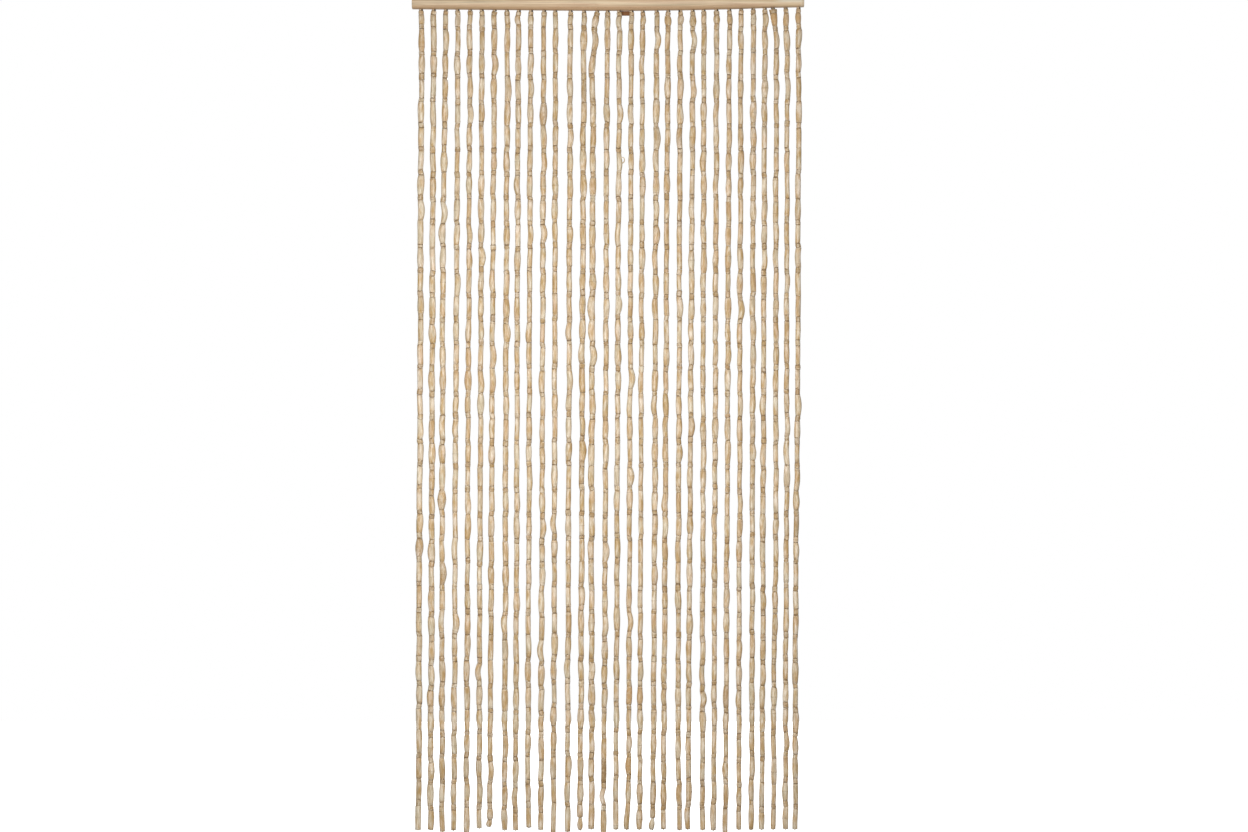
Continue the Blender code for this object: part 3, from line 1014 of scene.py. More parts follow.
@dataclass(frozen=True)
class StainFinish:
    """Dark red-brown stain on a thin piece of wood."""

    light: Colour = (0.29, 0.13, 0.052)
    dark: Colour = (0.19, 0.08, 0.03)
    grain: Grain = Grain((60.0, 700.0, 700.0), detail=3.0, rough=0.6)
    roughness: Ease = Ease(0.7, 0.55)
    relief: float = 0.2 * MM
    relief_strength: float = 0.5
    gloss: float = 0.2

    def make(self) -> bpy.types.Material:
        """Lay out the nodes.

        Returns:
            The material.
        """
        bench = NodeBench("brown_stain")
        grain = bench.noise(bench.place(), self.grain)
        colour = bench.ramp(grain, ((0.35, self.dark), (0.65, self.light)))
        bench.bump(grain, self.relief, self.relief_strength)
        return bench.finish(colour, bench.ease(grain, self.roughness), self.gloss)


@dataclass(frozen=True)
class ThreadFinish:
    """Twisted brown thread; a knot is darker on one side, a painted shadow under the rail."""

    tan: Colour = (0.80, 0.64, 0.44)
    # The dark colour: a little of it is the thread's own, and on the knots it is painted shadow.
    dark: Colour = (0.10, 0.065, 0.035)
    fuzz: Grain = Grain(scale=1400.0, rough=0.6)
    lay_tone: Ease = Ease(0.75, 1.15, -1.0, 1.0)
    lay_relief: float = 0.5
    roughness: float = 0.85
    relief: float = 0.2 * MM
    relief_strength: float = 0.6
    gloss: float = 0.2

    def make(self) -> bpy.types.Material:
        """Lay out the nodes.

        Returns:
            The material.
        """
        bench = NodeBench("thread")
        depth, twist, _ = bench.split(bench.attribute("thread_look"))
        lay = bench.sum("SINE", bench.product(twist, 2.0 * math.pi))
        # The first part is the share of the dark colour, on the knots a painted shadow.
        colour = bench.blend(depth, self.tan, self.dark)
        colour = bench.brighten(colour, bench.ease(lay, self.lay_tone))
        fuzz = bench.noise(bench.place(), self.fuzz)
        height = bench.sum("ADD", bench.product(lay, self.lay_relief), fuzz)
        bench.bump(height, self.relief, self.relief_strength)
        return bench.finish(colour, self.roughness, self.gloss)


@dataclass(frozen=True)
class FloorFinish:
    """Plain white floor that is lit evenly."""

    white: Colour = (0.92, 0.92, 0.92)
    shade: Colour = (0.9, 0.9, 0.9)
    glow_colour: Colour = (1.0, 1.0, 1.0)
    glow: float = 0.85
    specks: Grain = Grain(scale=60.0)
    roughness: float = 0.9
    gloss: float = 0.1

    def make(self) -> bpy.types.Material:
        """Lay out the nodes.

        Returns:
            The material.
        """
        bench = NodeBench("white_floor")
        bench.plug(bench.shader.inputs["Emission Color"], self.glow_colour)
        bench.plug(bench.shader.inputs["Emission Strength"], self.glow)
        speck = bench.noise(bench.place(), self.specks)
        colour = bench.ramp(speck, ((0.3, self.shade), (0.7, self.white)))
        return bench.finish(colour, self.roughness, self.gloss)


@dataclass(frozen=True)
class TurningBlank:
    """A bead about to be turned: its plan, and the joints above and below it.

    ends says how the string runs at those joints, node_at where the node ring lies if there is
    one, and places how far down the bead each ring lies.
    """

    bead: Bead
    joints: np.ndarray
    ends: np.ndarray
    length: float
    node_at: float | None
    places: np.ndarray


@dataclass(frozen=True)
class BeadTurner:
    """Turns the plan of a bead into rings of points, and works out what its finish reads there.

    The finish reads in millimetres how far off an end and a node ring are, so dry_joint and
    no_node are such lengths.
    """

    sides: int = 14
    short_rings: int = 3
    long_rings: int = 6
    drop_rings: int = 7
    gap: tuple[float, float] = (0.02 * MM, 0.13 * MM)
    shoulder: tuple[float, float] = (0.15 * MM, 0.5 * MM)
    face_share: float = 0.93
    bore_radius: float = 1.4 * MM
    bore_depth: float = 2 * MM
    bore_taper: float = 0.85
    # How much darker the bead is deep in the bore, at the bore's rim and at the end face's rim.
    bore_darkening: tuple[float, float, float] = (1.0, 0.8, 0.35)
    mitre: float = 0.75
    mitre_reach: float = 4 * MM
    run_step: float = 0.01
    taper: float = 0.05
    oval: tuple[float, float] = (0.02, 0.06)
    lump: float = 0.015
    lump_count: float = 3.0
    lump_start: float = 6.0
    lump_twist: float = 5.0
    swell_power: float = 1.2
    drop_end: float = 0.6
    drop_neck_power: float = 1.3
    drop_end_power: float = 2.2
    drop_shift_power: float = 1.5
    short_node_chance: float = 0.6
    long_node_chance: float = 0.3
    long_node_shares: tuple[float, float, float] = (0.14, 0.5, 0.84)
    node_jitter: float = 0.06
    node_swell: tuple[float, float] = (0.25 * MM, 0.5 * MM)
    node_width: float = 1.1 * MM
    node_room: float = 1.6
    no_node: float = 99.0
    grain_offset: float = 3.0
    hue_spread: float = 0.095
    tone_spread: float = 0.018
    short_tone: tuple[float, float] = (0.93, 1.02)
    # Painted shadow of the rail: how much darker a long bead is near the rail, from which height
    # to which.
    rail_shadow: float = 0.12
    rail_shadow_from: float = -30 * MM
    rail_shadow_to: float = -52 * MM
    short_stain: tuple[float, float] = (-0.5, 0.0)
    tint_chance: float = 0.6
    tint_reach: tuple[float, float] = (4.0 * MM, 16.0 * MM)
    tint_stain: tuple[float, float] = (-0.45, 0.4)
    dry_joint: tuple[float, float] = (-1.2, 1.6)

    def node_place(self, bead: Bead, length: float, draw: random.Random) -> float | None:
        """Draw where a bead's node ring lies.

        Args:
            bead: The bead.
            length: Its length.
            draw: The string's random numbers for its looks.

        Returns:
            How far down the bead it lies, or None where it has none.
        """
        if bead.form is BeadForm.SHORT:
            share, chance = 0.5, self.short_node_chance
        else:
            share, chance = draw.choice(self.long_node_shares), self.long_node_chance
        has_node = draw.random() < chance
        share += draw.uniform(-self.node_jitter, self.node_jitter)
        return share * length if has_node and bead.form is not BeadForm.DROP else None

    def outer_places(
        self, form: BeadForm, length: float, node_at: float | None, end: float
    ) -> list[float]:
        """Return how far down the bead each ring between its shoulders lies.

        Args:
            form: The bead's form.
            length: Its length.
            node_at: Where its node ring lies, if it has one.
            end: How far its rounded ends reach from its joints.

        Returns:
            The distances from its upper joint, from shoulder to shoulder.
        """
        counts = {BeadForm.SHORT: self.short_rings, BeadForm.DROP: self.drop_rings}
        shoulders = (end, length - end)
        places = list(np.linspace(*shoulders, counts.get(form, self.long_rings) + 2))
        if node_at is not None:
            width = self.node_width
            room = self.node_room * width
            places = [p for p in places if abs(p - node_at) > room or p in shoulders]
            places += [node_at - width, node_at, node_at + width]
        return sorted(places)

    def set_up(
        self, bead: Bead, joints: np.ndarray, ends: np.ndarray, draw: random.Random
    ) -> TurningBlank:
        """Work out where a bead's rings lie. The first and last three are those of its bore.

        Args:
            bead: The bead.
            joints: The joints above and below it.
            ends: How the string runs at those joints.
            draw: The string's random numbers for its looks.

        Returns:
            The bead, ready to be turned.
        """
        length = float(np.linalg.norm(joints[1] - joints[0]))
        node_at = self.node_place(bead, length, draw)
        gap = draw.uniform(*self.gap)
        outer = self.outer_places(bead.form, length, node_at, gap + draw.uniform(*self.shoulder))
        # The three are deep in the bore, at the bore's rim and at the end face's rim.
        bore = [gap + self.bore_depth, gap, gap]
        places = np.array(bore + outer + [length - place for place in reversed(bore)])
        return TurningBlank(bead, joints, ends, length, node_at, places)

    def bulge(self, bead: Bead, share: np.ndarray) -> np.ndarray:
        """Return how far a bow or swell has come up along the bead, from 0 to 1."""
        warp = math.log(0.5) / math.log(bead.belly_at)
        return np.sin(math.pi * np.clip(share, 0.0, 1.0) ** warp) ** self.swell_power

    def profile(self, bead: Bead, share: np.ndarray, lean: float) -> np.ndarray:
        """Return the bead's radius along it.

        Args:
            bead: The bead.
            share: Places along the bead, from 0 to 1.
            lean: How much thicker it is at one end.

        Returns:
            The radius at each place.
        """
        if bead.form is BeadForm.DROP:
            neck, belly = bead.end_radius, bead.belly_radius
            end = self.drop_end * belly
            rise = np.sin(0.5 * math.pi * np.clip(share / bead.belly_at, 0.0, 1.0))
            fall = np.clip((share - bead.belly_at) / (1.0 - bead.belly_at), 0.0, 1.0)
            swell = (belly - neck) * rise ** self.drop_neck_power
            return neck + swell + (end - belly) * fall ** self.drop_end_power
        swell = bead.belly_radius - bead.end_radius
        if bead.form is BeadForm.WEDGE:
            return bead.belly_radius - swell * np.clip(share, 0.0, 1.0) ** 2
        return (bead.end_radius + swell * self.bulge(bead, share)) * (1.0 + lean * (share - 0.5))

    def radii(self, blank: TurningBlank, draw: random.Random) -> np.ndarray:
        """Return the radius of each ring, with the node ring, the end faces and the bore.

        Args:
            blank: The bead.
            draw: The string's random numbers for its looks.

        Returns:
            The radii.
        """
        share, lean = blank.places / blank.length, draw.uniform(-self.taper, self.taper)
        radius = self.profile(blank.bead, share, lean)
        if blank.node_at is not None:
            swell = draw.uniform(*self.node_swell)
            off = (blank.places - blank.node_at) / self.node_width
            radius = radius + swell * np.exp(-(off ** 2))
        radius[[2, -3]] *= self.face_share
        radius[[1, -2]] = self.bore_radius
        radius[[0, -1]] = self.bore_radius * self.bore_taper
        return radius

    def centres(self, blank: TurningBlank, share: np.ndarray) -> np.ndarray:
        """Return the points of the bead's middle line.

        Args:
            blank: The bead.
            share: Places along it, from 0 to 1.

        Returns:
            A point for each place.
        """
        bead, (above, below) = blank.bead, blank.joints
        bow = np.array([bead.bow_x, bead.bow_y, 0.0])
        if bead.form is BeadForm.DROP:
            rise = np.clip(share / bead.belly_at, 0.0, 1.0) ** self.drop_shift_power
        else:
            rise = self.bulge(bead, share)
        return above + share[:, None] * (below - above) + rise[:, None] * bow

    def runs(self, blank: TurningBlank) -> np.ndarray:
        """Return how the bead runs at each ring, turned towards its cut faces near its ends.

        Args:
            blank: The bead.

        Returns:
            A direction for each ring.
        """
        places, length = blank.places, blank.length
        share, step = places / length, self.run_step
        along = unit(self.centres(blank, share + step) - self.centres(blank, share - step))
        for end, distance in zip(blank.ends, (places, length - places)):
            pull = self.mitre * np.clip(1.0 - distance / self.mitre_reach, 0.0, 1.0)[:, None]
            along = unit((1.0 - pull) * along + pull * end)
        return along

    def sections(self, blank: TurningBlank, draw: random.Random) -> np.ndarray:
        """Return each ring's outline, a little oval and lumpy.

        Args:
            blank: The bead.
            draw: The string's random numbers for its looks.

        Returns:
            Two distances from the middle line, by ring and side.
        """
        radius = self.radii(blank, draw)
        turn = np.linspace(0.0, 2.0 * math.pi, self.sides, endpoint=False)
        angles = turn + draw.uniform(0.0, 1.0)
        oval, oval_turn = draw.uniform(*self.oval), draw.uniform(0.0, math.pi)
        ovals = 1.0 + oval * np.cos(2.0 * (angles - oval_turn))
        start = draw.uniform(0.0, self.lump_start)
        share = blank.places / blank.length
        waves = self.lump_count * angles[None, :] + start + self.lump_twist * share[:, None]
        shape = radius[:, None] * ovals[None, :] * (1.0 + self.lump * np.sin(waves))
        return np.stack([shape * np.cos(angles)[None, :], shape * np.sin(angles)[None, :]])

    def tint(self, blank: TurningBlank, draw: random.Random) -> np.ndarray:
        """Return the stain along a plain bead, from -1 for brown to 1 for orange.

        Args:
            blank: The bead.
            draw: The string's random numbers for its looks.

        Returns:
            The stain at each ring.
        """
        places = blank.places
        if blank.bead.form is BeadForm.SHORT:
            return np.full(len(places), draw.uniform(*self.short_stain))
        stain = np.zeros(len(places))
        for distance in (places, places[-1] - places):
            strength, reach = draw.uniform(*self.tint_stain), draw.uniform(*self.tint_reach)
            if draw.random() < self.tint_chance:
                stain += strength * np.clip(1.0 - distance / reach, 0.0, 1.0)
        return stain

    def look(
        self,
        blank: TurningBlank,
        heights: np.ndarray,
        base_hue: float,
        stain: float,
        draw: random.Random,
    ) -> np.ndarray:
        """Return the bead's tone, hue and stain at each point. Long ones carry a painted shadow
        of the rail, darker near it.

        Args:
            blank: The bead.
            heights: The Z of each point, by ring and side.
            base_hue: The string's hue, from 0 for grey straw to 1 for pink.
            stain: The bead's own stain, from -1 for brown to 1 for orange.
            draw: The string's random numbers for its looks.

        Returns:
            The three, by ring and side.
        """
        zero = np.zeros_like(heights)
        tone, hue = draw.gauss(1.0, self.tone_spread), draw.gauss(base_hue, self.hue_spread)
        if blank.bead.form is BeadForm.SHORT:
            tone *= draw.uniform(*self.short_tone)
        else:
            # Painted shadow of the rail: a long bead's tone falls towards the rail's underside.
            fade = self.rail_shadow_from - self.rail_shadow_to
            near = np.clip((heights - self.rail_shadow_to) / fade, 0.0, 1.0)
            tone = tone * (1.0 - self.rail_shadow * near)
        if stain == Stain.NONE.value:
            stains = self.tint(blank, draw)
        else:
            stains = np.full(len(blank.places), stain)
        return np.stack([zero + tone, zero + hue, zero + stains[:, None]], axis=-1)

    def wear(self, blank: TurningBlank, draw: random.Random) -> np.ndarray:
        """Return how far an end and the node ring are from each point, and how dark the bore is.

        Args:
            blank: The bead.
            draw: The string's random numbers for its looks.

        Returns:
            The three, by ring and side.
        """
        zero = np.zeros((len(blank.places), self.sides))
        run = zero + blank.places[:, None]
        dry_top, dry_bottom = draw.uniform(*self.dry_joint), draw.uniform(*self.dry_joint)
        to_end = np.minimum(run / MM + dry_top, (blank.length - run) / MM + dry_bottom)
        to_node = zero + self.no_node
        if blank.node_at is not None:
            to_node = np.abs(run - blank.node_at) / MM
        dirt = zero.copy()
        dirt[:3] = np.array(self.bore_darkening)[:, None]
        dirt[-3:] = np.array(self.bore_darkening[::-1])[:, None]
        return np.stack([to_end, to_node, dirt], axis=-1)

    def turn(
        self, blank: TurningBlank, base_hue: float, stain: float, draw: random.Random
    ) -> dict[str, np.ndarray]:
        """Return a bead's rings and what its finish needs to know at each point.

        Args:
            blank: The bead.
            base_hue: The string's hue, from 0 for grey straw to 1 for pink.
            stain: The bead's own stain, from -1 for brown to 1 for orange.
            draw: The string's random numbers for its looks.

        Returns:
            Arrays by ring, side and X, Y, Z: rings and the three attributes.
        """
        out_x, out_y = self.sections(blank, draw)
        along = self.runs(blank)
        across = unit(np.array([1.0, 0.0, 0.0]) - along[:, :1] * along)
        other = np.cross(along, across)
        rings = (
            self.centres(blank, blank.places / blank.length)[:, None, :]
            + out_x[..., None] * across[:, None, :]
            + out_y[..., None] * other[:, None, :]
        )
        offset = [draw.uniform(0.0, self.grain_offset) for _ in range(3)]
        run = np.zeros_like(out_x) + blank.places[:, None]
        space = np.stack([out_x + offset[0], out_y + offset[1], run + offset[2]], axis=-1)
        look = self.look(blank, rings[..., 2], base_hue, stain, draw)
        wear = self.wear(blank, draw)
        return {"rings": rings, "bead_space": space, "bead_look": look, "bead_wear": wear}


@dataclass(frozen=True)
class BeadString:
    """One string of beads, as one joined piece."""

    hung: HungString
    turner: BeadTurner
    tilt: float = 0.05
    mean_hue: float = 0.47
    hue_spread: float = 0.05
    look_seed: int = 7300

    def directions(self, points: np.ndarray, draw: random.Random) -> np.ndarray:
        """Return how the string runs at each joint, with a little tilt of the cut faces.

        Args:
            points: The joints.
            draw: The string's random numbers for its looks.

        Returns:
            A direction for each joint.
        """
        runs = unit(np.diff(points, axis=0))
        mean = np.vstack([runs[:1], unit(runs[:-1] + runs[1:]), runs[-1:]])
        tilts = [(draw.gauss(0.0, self.tilt), draw.gauss(0.0, self.tilt), 0.0) for _ in mean]
        return unit(mean + np.array(tilts))

    def stain_of(self, bead: Bead) -> float:
        """Return the stain that stands out on a bead.

        Args:
            bead: The bead.

        Returns:
            Its strength, from -1 for brown to 1 for orange.
        """
        for accent in ACCENTS:
            if accent.string == self.hung.number and bead.top < accent.depth * MM <= bead.bottom:
                return accent.stain.value * accent.strength
        return Stain.NONE.value

    def build(self, finish: bpy.types.Material) -> None:
        """Build and dress the string.

        Args:
            finish: The beads' material.
        """
        number = self.hung.number
        draw = random.Random(self.look_seed + number)
        points = self.hung.points()
        directions = self.directions(points, draw)
        base_hue = draw.gauss(self.mean_hue, self.hue_spread)
        skin = RingMesh(BEAD_ATTRIBUTES)
        for index, bead in enumerate(self.hung.beads):
            joints, ends = points[index:index + 2], directions[index:index + 2]
            blank = self.turner.set_up(bead, joints, ends, draw)
            skin.add(**self.turner.turn(blank, base_hue, self.stain_of(bead), draw))
        thing = skin.build(f"beads_{number:02d}", outward=False)
        dress(thing, finish, "cane_bead", f"string_{number:02d}")


@dataclass(frozen=True)
class Threading:
    """The threads that the beads hang on, with a knot under the rail and one at the end."""

    radius: float = 0.75 * MM
    sides: int = 6
    into_rail: float = 3 * MM
    past_end: float = 0.8 * MM
    plain_dark: float = 0.35
    twist: float = 300.0
    knot_steps: int = 30
    knot_sides: int = 7
    knot_tube: float = 1.75 * MM
    knot_width: float = 1.22 * MM
    knot_height: float = 0.2 * MM
    knot_above: float = 2.0 * MM
    knot_twist: float = 2.5
    # Painted shadow on the knots: how it darkens across a knot and how strong it is.
    shade_slope: float = 3.0
    shade_start: float = 0.05
    darkness: tuple[float, float] = (0.75, 1.0)
    mirrored: tuple[int, ...] = (22, 28)
    double: tuple[int, ...] = (30,)
    brown: tuple[int, ...] = (27, 31)
    brown_dark: float = 0.4
    brown_slope: float = 0.2
    end_knot: float = 1.6 * MM
    end_rings: int = 6
    end_span: tuple[float, float] = (0.06, 0.94)
    end_middle: float = 0.4
    end_reach: float = 0.8
    end_twist: float = 2.0
    seed: int = 52

    def look(self, rings: np.ndarray, dark: np.ndarray | float, twist: np.ndarray) -> np.ndarray:
        """Return the attribute of a thread.

        Args:
            rings: The thread's rings.
            dark: How dark it is.
            twist: How far it has twisted at each ring.

        Returns:
            The darkness and the twist at each point.
        """
        around = np.linspace(0.0, 1.0, rings.shape[1], endpoint=False)[None, :]
        blank = np.zeros(rings.shape[:2])
        return np.stack([blank + dark, blank + twist[:, None] + around, blank], axis=-1)

    def run(self, hung: HungString, skin: RingMesh) -> None:
        """Add a string's thread.

        Args:
            hung: The string.
            skin: The mesh that takes it.
        """
        points = hung.points()
        top = points[0] + np.array([0.0, 0.0, hung.joints[0].depth + self.into_rail])
        path = np.vstack([top, points, points[-1] - np.array([0.0, 0.0, self.past_end])])
        rings = tube_rings(path, np.full(len(path), self.radius), self.sides)
        skin.add(rings, thread_look=self.look(rings, self.plain_dark, self.twist * path[:, 2]))

    def knot_shade(self, number: int, side: np.ndarray) -> np.ndarray:
        """Return the painted shadow on a knot, for most of them on its right side.

        Args:
            number: The string, from 1 at the left.
            side: How far to the right each point lies, from -1 to 1.

        Returns:
            The darkness at each point.
        """
        if number in self.mirrored:
            side = -side
        if number in self.double:
            side = np.abs(side)
        strength = random.Random(self.seed + number).uniform(*self.darkness)
        # Painted shadow: the knot darkens towards one side.
        dark = strength * np.clip(self.shade_slope * side + self.shade_start, 0.0, 1.0)
        return self.brown_dark + self.brown_slope * dark if number in self.brown else dark

    def knot(self, hung: HungString, skin: RingMesh) -> None:
        """Add the knot under the rail, a trefoil that reaches three widths to each side.

        Args:
            hung: The string.
            skin: The mesh that takes it.
        """
        joint = hung.joints[0]
        middle = np.array([joint.x, joint.y, UNDERSIDE - joint.depth + self.knot_above])
        turn = np.linspace(0.0, 2.0 * math.pi, self.knot_steps + 1)
        loops = (
            self.knot_width * (np.sin(turn) + 2.0 * np.sin(2.0 * turn)),
            self.knot_width * (np.cos(turn) - 2.0 * np.cos(2.0 * turn)),
            -self.knot_height * np.sin(3.0 * turn),
        )
        path = middle + np.stack(loops, axis=-1)
        rings = tube_rings(path, np.full(len(path), self.knot_tube), self.knot_sides)
        side = (rings[..., 0] - joint.x) / (3.0 * self.knot_width)
        # Painted shadow across the knot, by how far right each point lies.
        dark = self.knot_shade(hung.number, side)
        skin.add(rings, thread_look=self.look(rings, dark, self.knot_twist * turn))

    def end(self, hung: HungString, skin: RingMesh) -> None:
        """Add the small knot below the last bead's bore.

        Args:
            hung: The string.
            skin: The mesh that takes it.
        """
        turn = np.linspace(*self.end_span, self.end_rings) * math.pi
        below = self.end_knot * (self.end_middle - self.end_reach * np.cos(turn))
        path = hung.points()[-1] - np.array([0.0, 0.0, 1.0]) * below[:, None]
        rings = tube_rings(path, self.end_knot * np.sin(turn), self.sides)
        skin.add(rings, thread_look=self.look(rings, self.plain_dark, self.end_twist * turn))

    def build(self, strings: Sequence[HungString], finish: bpy.types.Material) -> None:
        """Build and dress all threads and knots as one piece.

        Args:
            strings: The strings.
            finish: The threads' material.
        """
        skin = RingMesh(("thread_look",))
        for hung in strings:
            self.run(hung, skin)
            self.knot(hung, skin)
            self.end(hung, skin)
        dress(skin.build("threads_and_knots"), finish, "thread")


@dataclass(frozen=True)
class Spur:
    """The little curl of fibre that stands off the side of string 17."""

    string: int = 17
    depth: float = 347 * MM
    off_line: float = 4.5 * MM
    forward: float = 1.5 * MM
    width: float = 8 * MM
    height: float = 13 * MM
    weave: float = 1.2 * MM
    close: float = 0.12
    turns: tuple[float, float] = (-0.65, 1.15)
    thickness: float = 1.3 * MM
    root: float = 1.25
    tip: float = 0.45
    steps: int = 26
    sides: int = 8
    tone: float = 1.05
    no_end: float = 9.0
    grain_start: Point = (0.7, 0.2, 0.0)
    grain_length: float = 40.0 * MM

    def build(self, strings: Sequence[HungString], finish: bpy.types.Material) -> None:
        """Build and dress the curl.

        Args:
            strings: The strings.
            finish: Its material.
        """
        hung = strings[self.string - 1]
        points = hung.points()
        z = UNDERSIDE - self.depth
        x = float(np.interp(z, points[::-1, 2], points[::-1, 0]))
        start, end = self.turns
        turn = np.linspace(start * math.pi, end * math.pi, self.steps)
        closing = 1.0 - self.close * turn / math.pi
        curl = (
            x + self.off_line + 0.5 * self.width * (1.0 + np.cos(turn)),
            hung.joints[0].y - self.forward + self.weave * np.sin(2.0 * turn),
            z + 0.5 * self.height * np.sin(turn) * closing,
        )
        path = np.stack(curl, axis=-1)
        radii = self.thickness * np.linspace(self.root, self.tip, self.steps)
        rings = tube_rings(path, radii, self.sides)
        blank = np.zeros(rings.shape[:2])
        space = rings - path[:, None, :] + np.array(self.grain_start)
        space[..., 2] += np.linspace(0.0, self.grain_length, self.steps)[:, None]
        look = np.stack([blank + self.tone, blank, blank], axis=-1)
        wear = np.stack([blank + self.no_end, blank + self.no_end, blank], axis=-1)
        skin = RingMesh(BEAD_ATTRIBUTES)
        skin.add(rings, bead_space=space, bead_look=look, bead_wear=wear)
        dress(skin.build("fibre_curl"), finish, "cane_bead")


@dataclass(frozen=True)
class Outline:
    """A closed outline and its outward normals, in two coordinates."""

    points: np.ndarray
    normals: np.ndarray

    def inset(self, width: float) -> np.ndarray:
        """Return the outline drawn in by a width."""
        return self.points - width * self.normals


def rounded_sweep(
    outline: Outline, places: np.ndarray, edge: float, steps: int
) -> list[tuple[float, np.ndarray]]:
    """Return the sections of a bar with rounded ends.

    Args:
        outline: The bar's section.
        places: Where its full sections lie along it, from one end's rounding to the other's.
        edge: The rounding's radius.
        steps: The sections in each rounding.

    Returns:
        The place along the bar and the section's points, one after another.
    """
    turns = [0.5 * math.pi * step / steps for step in range(steps)]
    ends = [(edge * math.cos(turn), edge * (1.0 - math.sin(turn))) for turn in turns]
    first = [(places[0] - reach, outline.inset(width)) for reach, width in ends]
    full = [(float(place), outline.points) for place in places]
    last = [(places[-1] + reach, outline.inset(width)) for reach, width in reversed(ends)]
    return first + full + last


@dataclass(frozen=True)
class Rail:
    """The wooden rail: flat back, round front, an underside that sags and then rises."""

    length: float = 900 * MM
    half_height: float = -UNDERSIDE
    depth: float = 24 * MM
    bulge: float = 13 * MM
    edge: float = 1.8 * MM
    edge_steps: int = 4
    corner_steps: int = 5
    flat_shares: tuple[float, float] = (0.3, 0.65)
    nose_steps: int = 40
    stations: int = 84
    waviness: float = 0.12 * MM
    wave_count: int = 4
    wave_rate: tuple[float, float] = (8.0, 60.0)
    wave_start: float = 6.0
    seed: int = 61

    def outline(self) -> Outline:
        """Return the section's outline in Y and Z, from the back's upper corner.

        Returns:
            The outline.
        """
        half, edge, flat = self.half_height, self.edge, self.depth - self.bulge
        points: list[tuple[float, float]] = []
        normals: list[tuple[float, float]] = []
        for sign in (1.0, -1.0):
            for step in range(self.corner_steps + 1):
                turn = 0.5 * math.pi * step / self.corner_steps
                turn = 0.5 * math.pi - turn if sign > 0 else turn
                normal = (math.cos(turn), sign * math.sin(turn))
                points.append((-edge + edge * normal[0], sign * (half - edge) + edge * normal[1]))
                normals.append(normal)
        for share in self.flat_shares:
            points.append((-edge - share * (flat - edge), -half))
            normals.append((0.0, -1.0))
        for step in range(self.nose_steps + 1):
            turn = math.pi * step / self.nose_steps
            points.append((-flat - self.bulge * math.sin(turn), -half * math.cos(turn)))
            normal = np.array([-half * math.sin(turn), -self.bulge * math.cos(turn)])
            normals.append(tuple(unit(normal)))
        for share in reversed(self.flat_shares):
            points.append((-edge - share * (flat - edge), half))
            normals.append((0.0, 1.0))
        return Outline(np.array(points), np.array(normals))

    def build(self, finish: bpy.types.Material) -> None:
        """Build and dress the rail.

        Args:
            finish: Its material.
        """
        draw = random.Random(self.seed)
        waves = [
            (draw.uniform(*self.wave_rate), draw.uniform(0.0, self.wave_start))
            for _ in range(self.wave_count)
        ]
        reach = 0.5 * self.length - self.edge
        places = np.linspace(-reach, reach, self.stations)
        rings = []
        for x, section in rounded_sweep(self.outline(), places, self.edge, self.edge_steps):
            z = section[:, 1]
            wave = sum(math.sin(rate * x + start) for rate, start in waves) / len(waves)
            z = np.where(z < 0.0, z * (1.0 - rail_lift(x) / self.half_height), z)
            z = z * (1.0 - self.waviness * (1.0 + wave) / (2.0 * self.half_height))
            rings.append(np.stack([np.full(len(z), x), section[:, 0], z], axis=-1))
        skin = RingMesh()
        skin.add(np.array(rings))
        dress(skin.build("rail_batten"), finish, "rail_wood", "rail")


@dataclass(frozen=True)
class CentreTab:
    """The small tab that stands under the rail behind the middle strings."""

    x: float = 39.5 * MM
    width: float = 22 * MM
    height: float = 10.6 * MM
    thickness: float = 2.4 * MM
    edge: float = 0.6 * MM
    edge_steps: int = 3
    corner: float = 1.5 * MM
    corner_steps: int = 6

    def outline(self) -> Outline:
        """Return the tab's outline in X and Z, from its right side.

        Returns:
            The outline.
        """
        across, up = 0.5 * self.width - self.corner, 0.5 * self.height - self.corner
        points, normals = [], []
        for quarter, (side, end) in enumerate(((1, 1), (-1, 1), (-1, -1), (1, -1))):
            for step in range(self.corner_steps + 1):
                turn = 0.5 * math.pi * (quarter + step / self.corner_steps)
                normal = (math.cos(turn), math.sin(turn))
                corner_x, corner_z = self.corner * normal[0], self.corner * normal[1]
                points.append((side * across + corner_x, end * up + corner_z))
                normals.append(normal)
        return Outline(np.array(points), np.array(normals))

    def build(self, finish: bpy.types.Material) -> None:
        """Build and dress the tab.

        Args:
            finish: Its material.
        """
        z = UNDERSIDE + rail_lift(self.x) - CLEARANCE - 0.5 * self.height
        places = np.array([-CLEARANCE - self.thickness + self.edge, -CLEARANCE - self.edge])
        rings = []
        for y, points in rounded_sweep(self.outline(), places, self.edge, self.edge_steps):
            ring = [self.x + points[:, 0], np.full(len(points), y), z + points[:, 1]]
            rings.append(np.stack(ring, axis=-1))
        skin = RingMesh()
        skin.add(np.array(rings))
        dress(skin.build("tab"), finish, "tab_brown", "centre_tab")


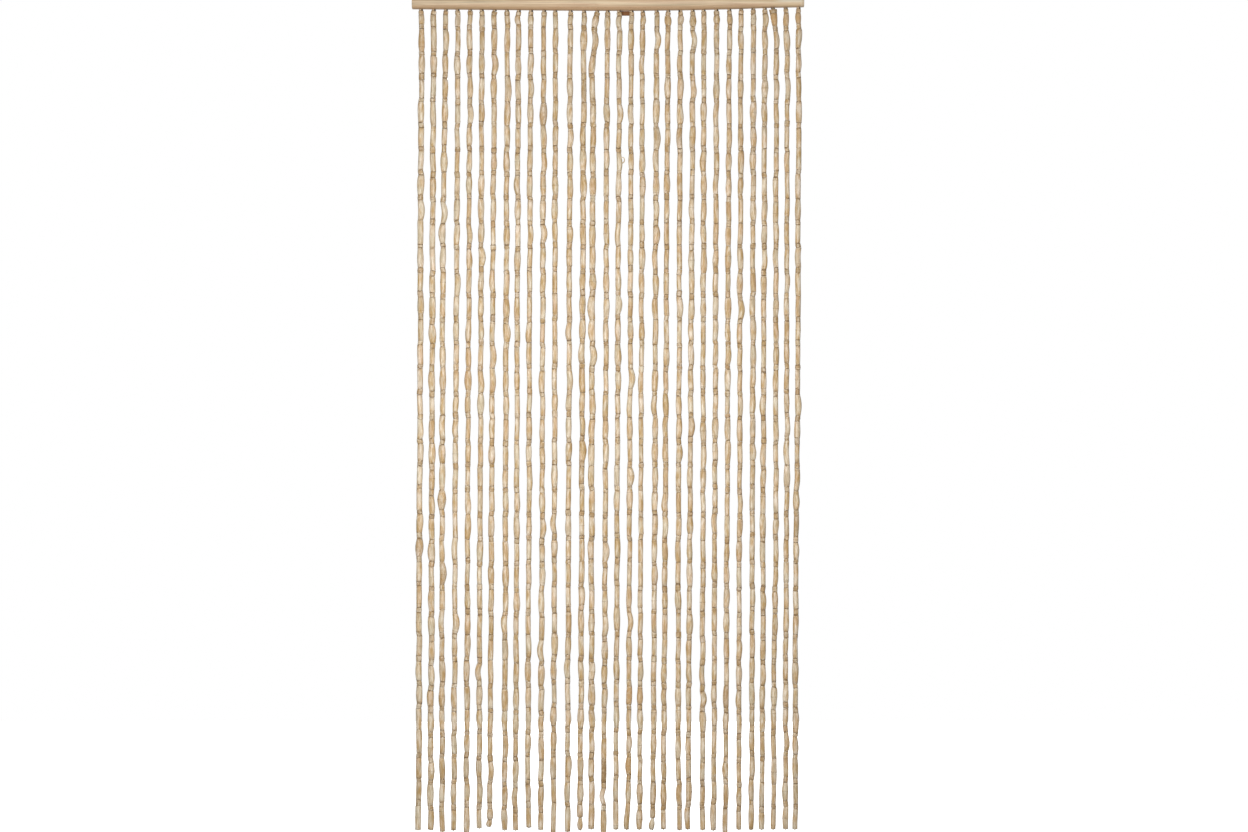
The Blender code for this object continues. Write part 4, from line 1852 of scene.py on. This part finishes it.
@dataclass(frozen=True)
class Studio:
    """The camera, the lights, the white surround and the floor."""

    camera_place: Point = (36.7 * MM, -7.969, -948.7 * MM)
    lens: float = 100.0
    sensor: float = 36.0
    floor_z: float = -1.96
    floor_size: float = 7.0
    lamp_size: float = 1.2
    key_power: float = 17.3
    key_place: Point = (-0.28, -1.55, -0.88)
    fill_power: float = 33.5
    fill_place: Point = (0.5, -3.95, 1.05)
    back_power: float = 110.0
    back_place: Point = (0.0, 5.0, 0.9)
    surround: float = 0.345

    def camera(self) -> None:
        """Place the camera straight in front."""
        data = bpy.data.cameras.new("camera")
        data.lens = self.lens
        data.sensor_width = self.sensor
        thing = bpy.data.objects.new("camera", data)
        thing.location = self.camera_place
        thing.rotation_euler = (0.5 * math.pi, 0.0, 0.0)
        bpy.context.scene.collection.objects.link(thing)
        bpy.context.scene.camera = thing

    def lamp(self, name: str, power: float, place: Point) -> None:
        """Place a soft lamp that faces the curtain.

        Args:
            name: Its name.
            power: Its power in watts.
            place: Where it stands.
        """
        data = bpy.data.lights.new(name, "AREA")
        data.energy = power
        data.size = self.lamp_size
        thing = bpy.data.objects.new(name, data)
        thing.location = place
        aim = Vector((0.0, 0.0, self.camera_place[2])) - Vector(place)
        thing.rotation_euler = aim.to_track_quat("-Z", "Y").to_euler()
        thing.visible_camera = False
        bpy.context.scene.collection.objects.link(thing)

    def white_surround(self) -> None:
        """Set a white background and an even light from all round."""
        world = bpy.data.worlds.new("white_surround")
        world.use_nodes = True
        tree = world.node_tree
        tree.nodes.clear()
        seen = tree.nodes.new("ShaderNodeBackground")
        light = tree.nodes.new("ShaderNodeBackground")
        light.inputs["Strength"].default_value = self.surround
        for shade in (seen, light):
            shade.inputs["Color"].default_value = (1.0, 1.0, 1.0, 1.0)
        rays = tree.nodes.new("ShaderNodeLightPath")
        choice = tree.nodes.new("ShaderNodeMixShader")
        output = tree.nodes.new("ShaderNodeOutputWorld")
        tree.links.new(rays.outputs["Is Camera Ray"], choice.inputs[0])
        tree.links.new(light.outputs[0], choice.inputs[1])
        tree.links.new(seen.outputs[0], choice.inputs[2])
        tree.links.new(choice.outputs[0], output.inputs[0])
        bpy.context.scene.world = world

    def floor(self) -> None:
        """Lay the floor below the curtain."""
        half = 0.5 * self.floor_size
        corners = [(-half, -half), (half, -half), (half, half), (-half, half)]
        mesh = bpy.data.meshes.new("floor")
        mesh.from_pydata([(x, y, self.floor_z) for x, y in corners], [], [(0, 1, 2, 3)])
        thing = bpy.data.objects.new("floor", mesh)
        mesh.materials.append(FloorFinish().make())
        bpy.context.scene.collection.objects.link(thing)
        thing.visible_diffuse = False
        thing.visible_glossy = False

    def build(self) -> None:
        """Set up the whole studio."""
        self.camera()
        self.lamp("key", self.key_power, self.key_place)
        self.lamp("fill", self.fill_power, self.fill_place)
        self.lamp("back", self.back_power, self.back_place)
        self.white_surround()
        self.floor()
        bpy.context.scene.view_settings.view_transform = "Standard"


def main() -> None:
    """Build the curtain and the studio."""
    logging.basicConfig(level=logging.INFO, format="%(message)s")
    cane = CaneFinish().make()
    plan = StringPlan()
    turner = BeadTurner()
    strings = [plan.hang(number) for number in range(1, plan.count + 1)]
    for hung in strings:
        BeadString(hung, turner).build(cane)
    Threading().build(strings, ThreadFinish().make())
    Spur().build(strings, cane)
    Rail().build(WoodFinish().make())
    CentreTab().build(StainFinish().make())
    Studio().build()


if __name__ == "__main__":
    main()
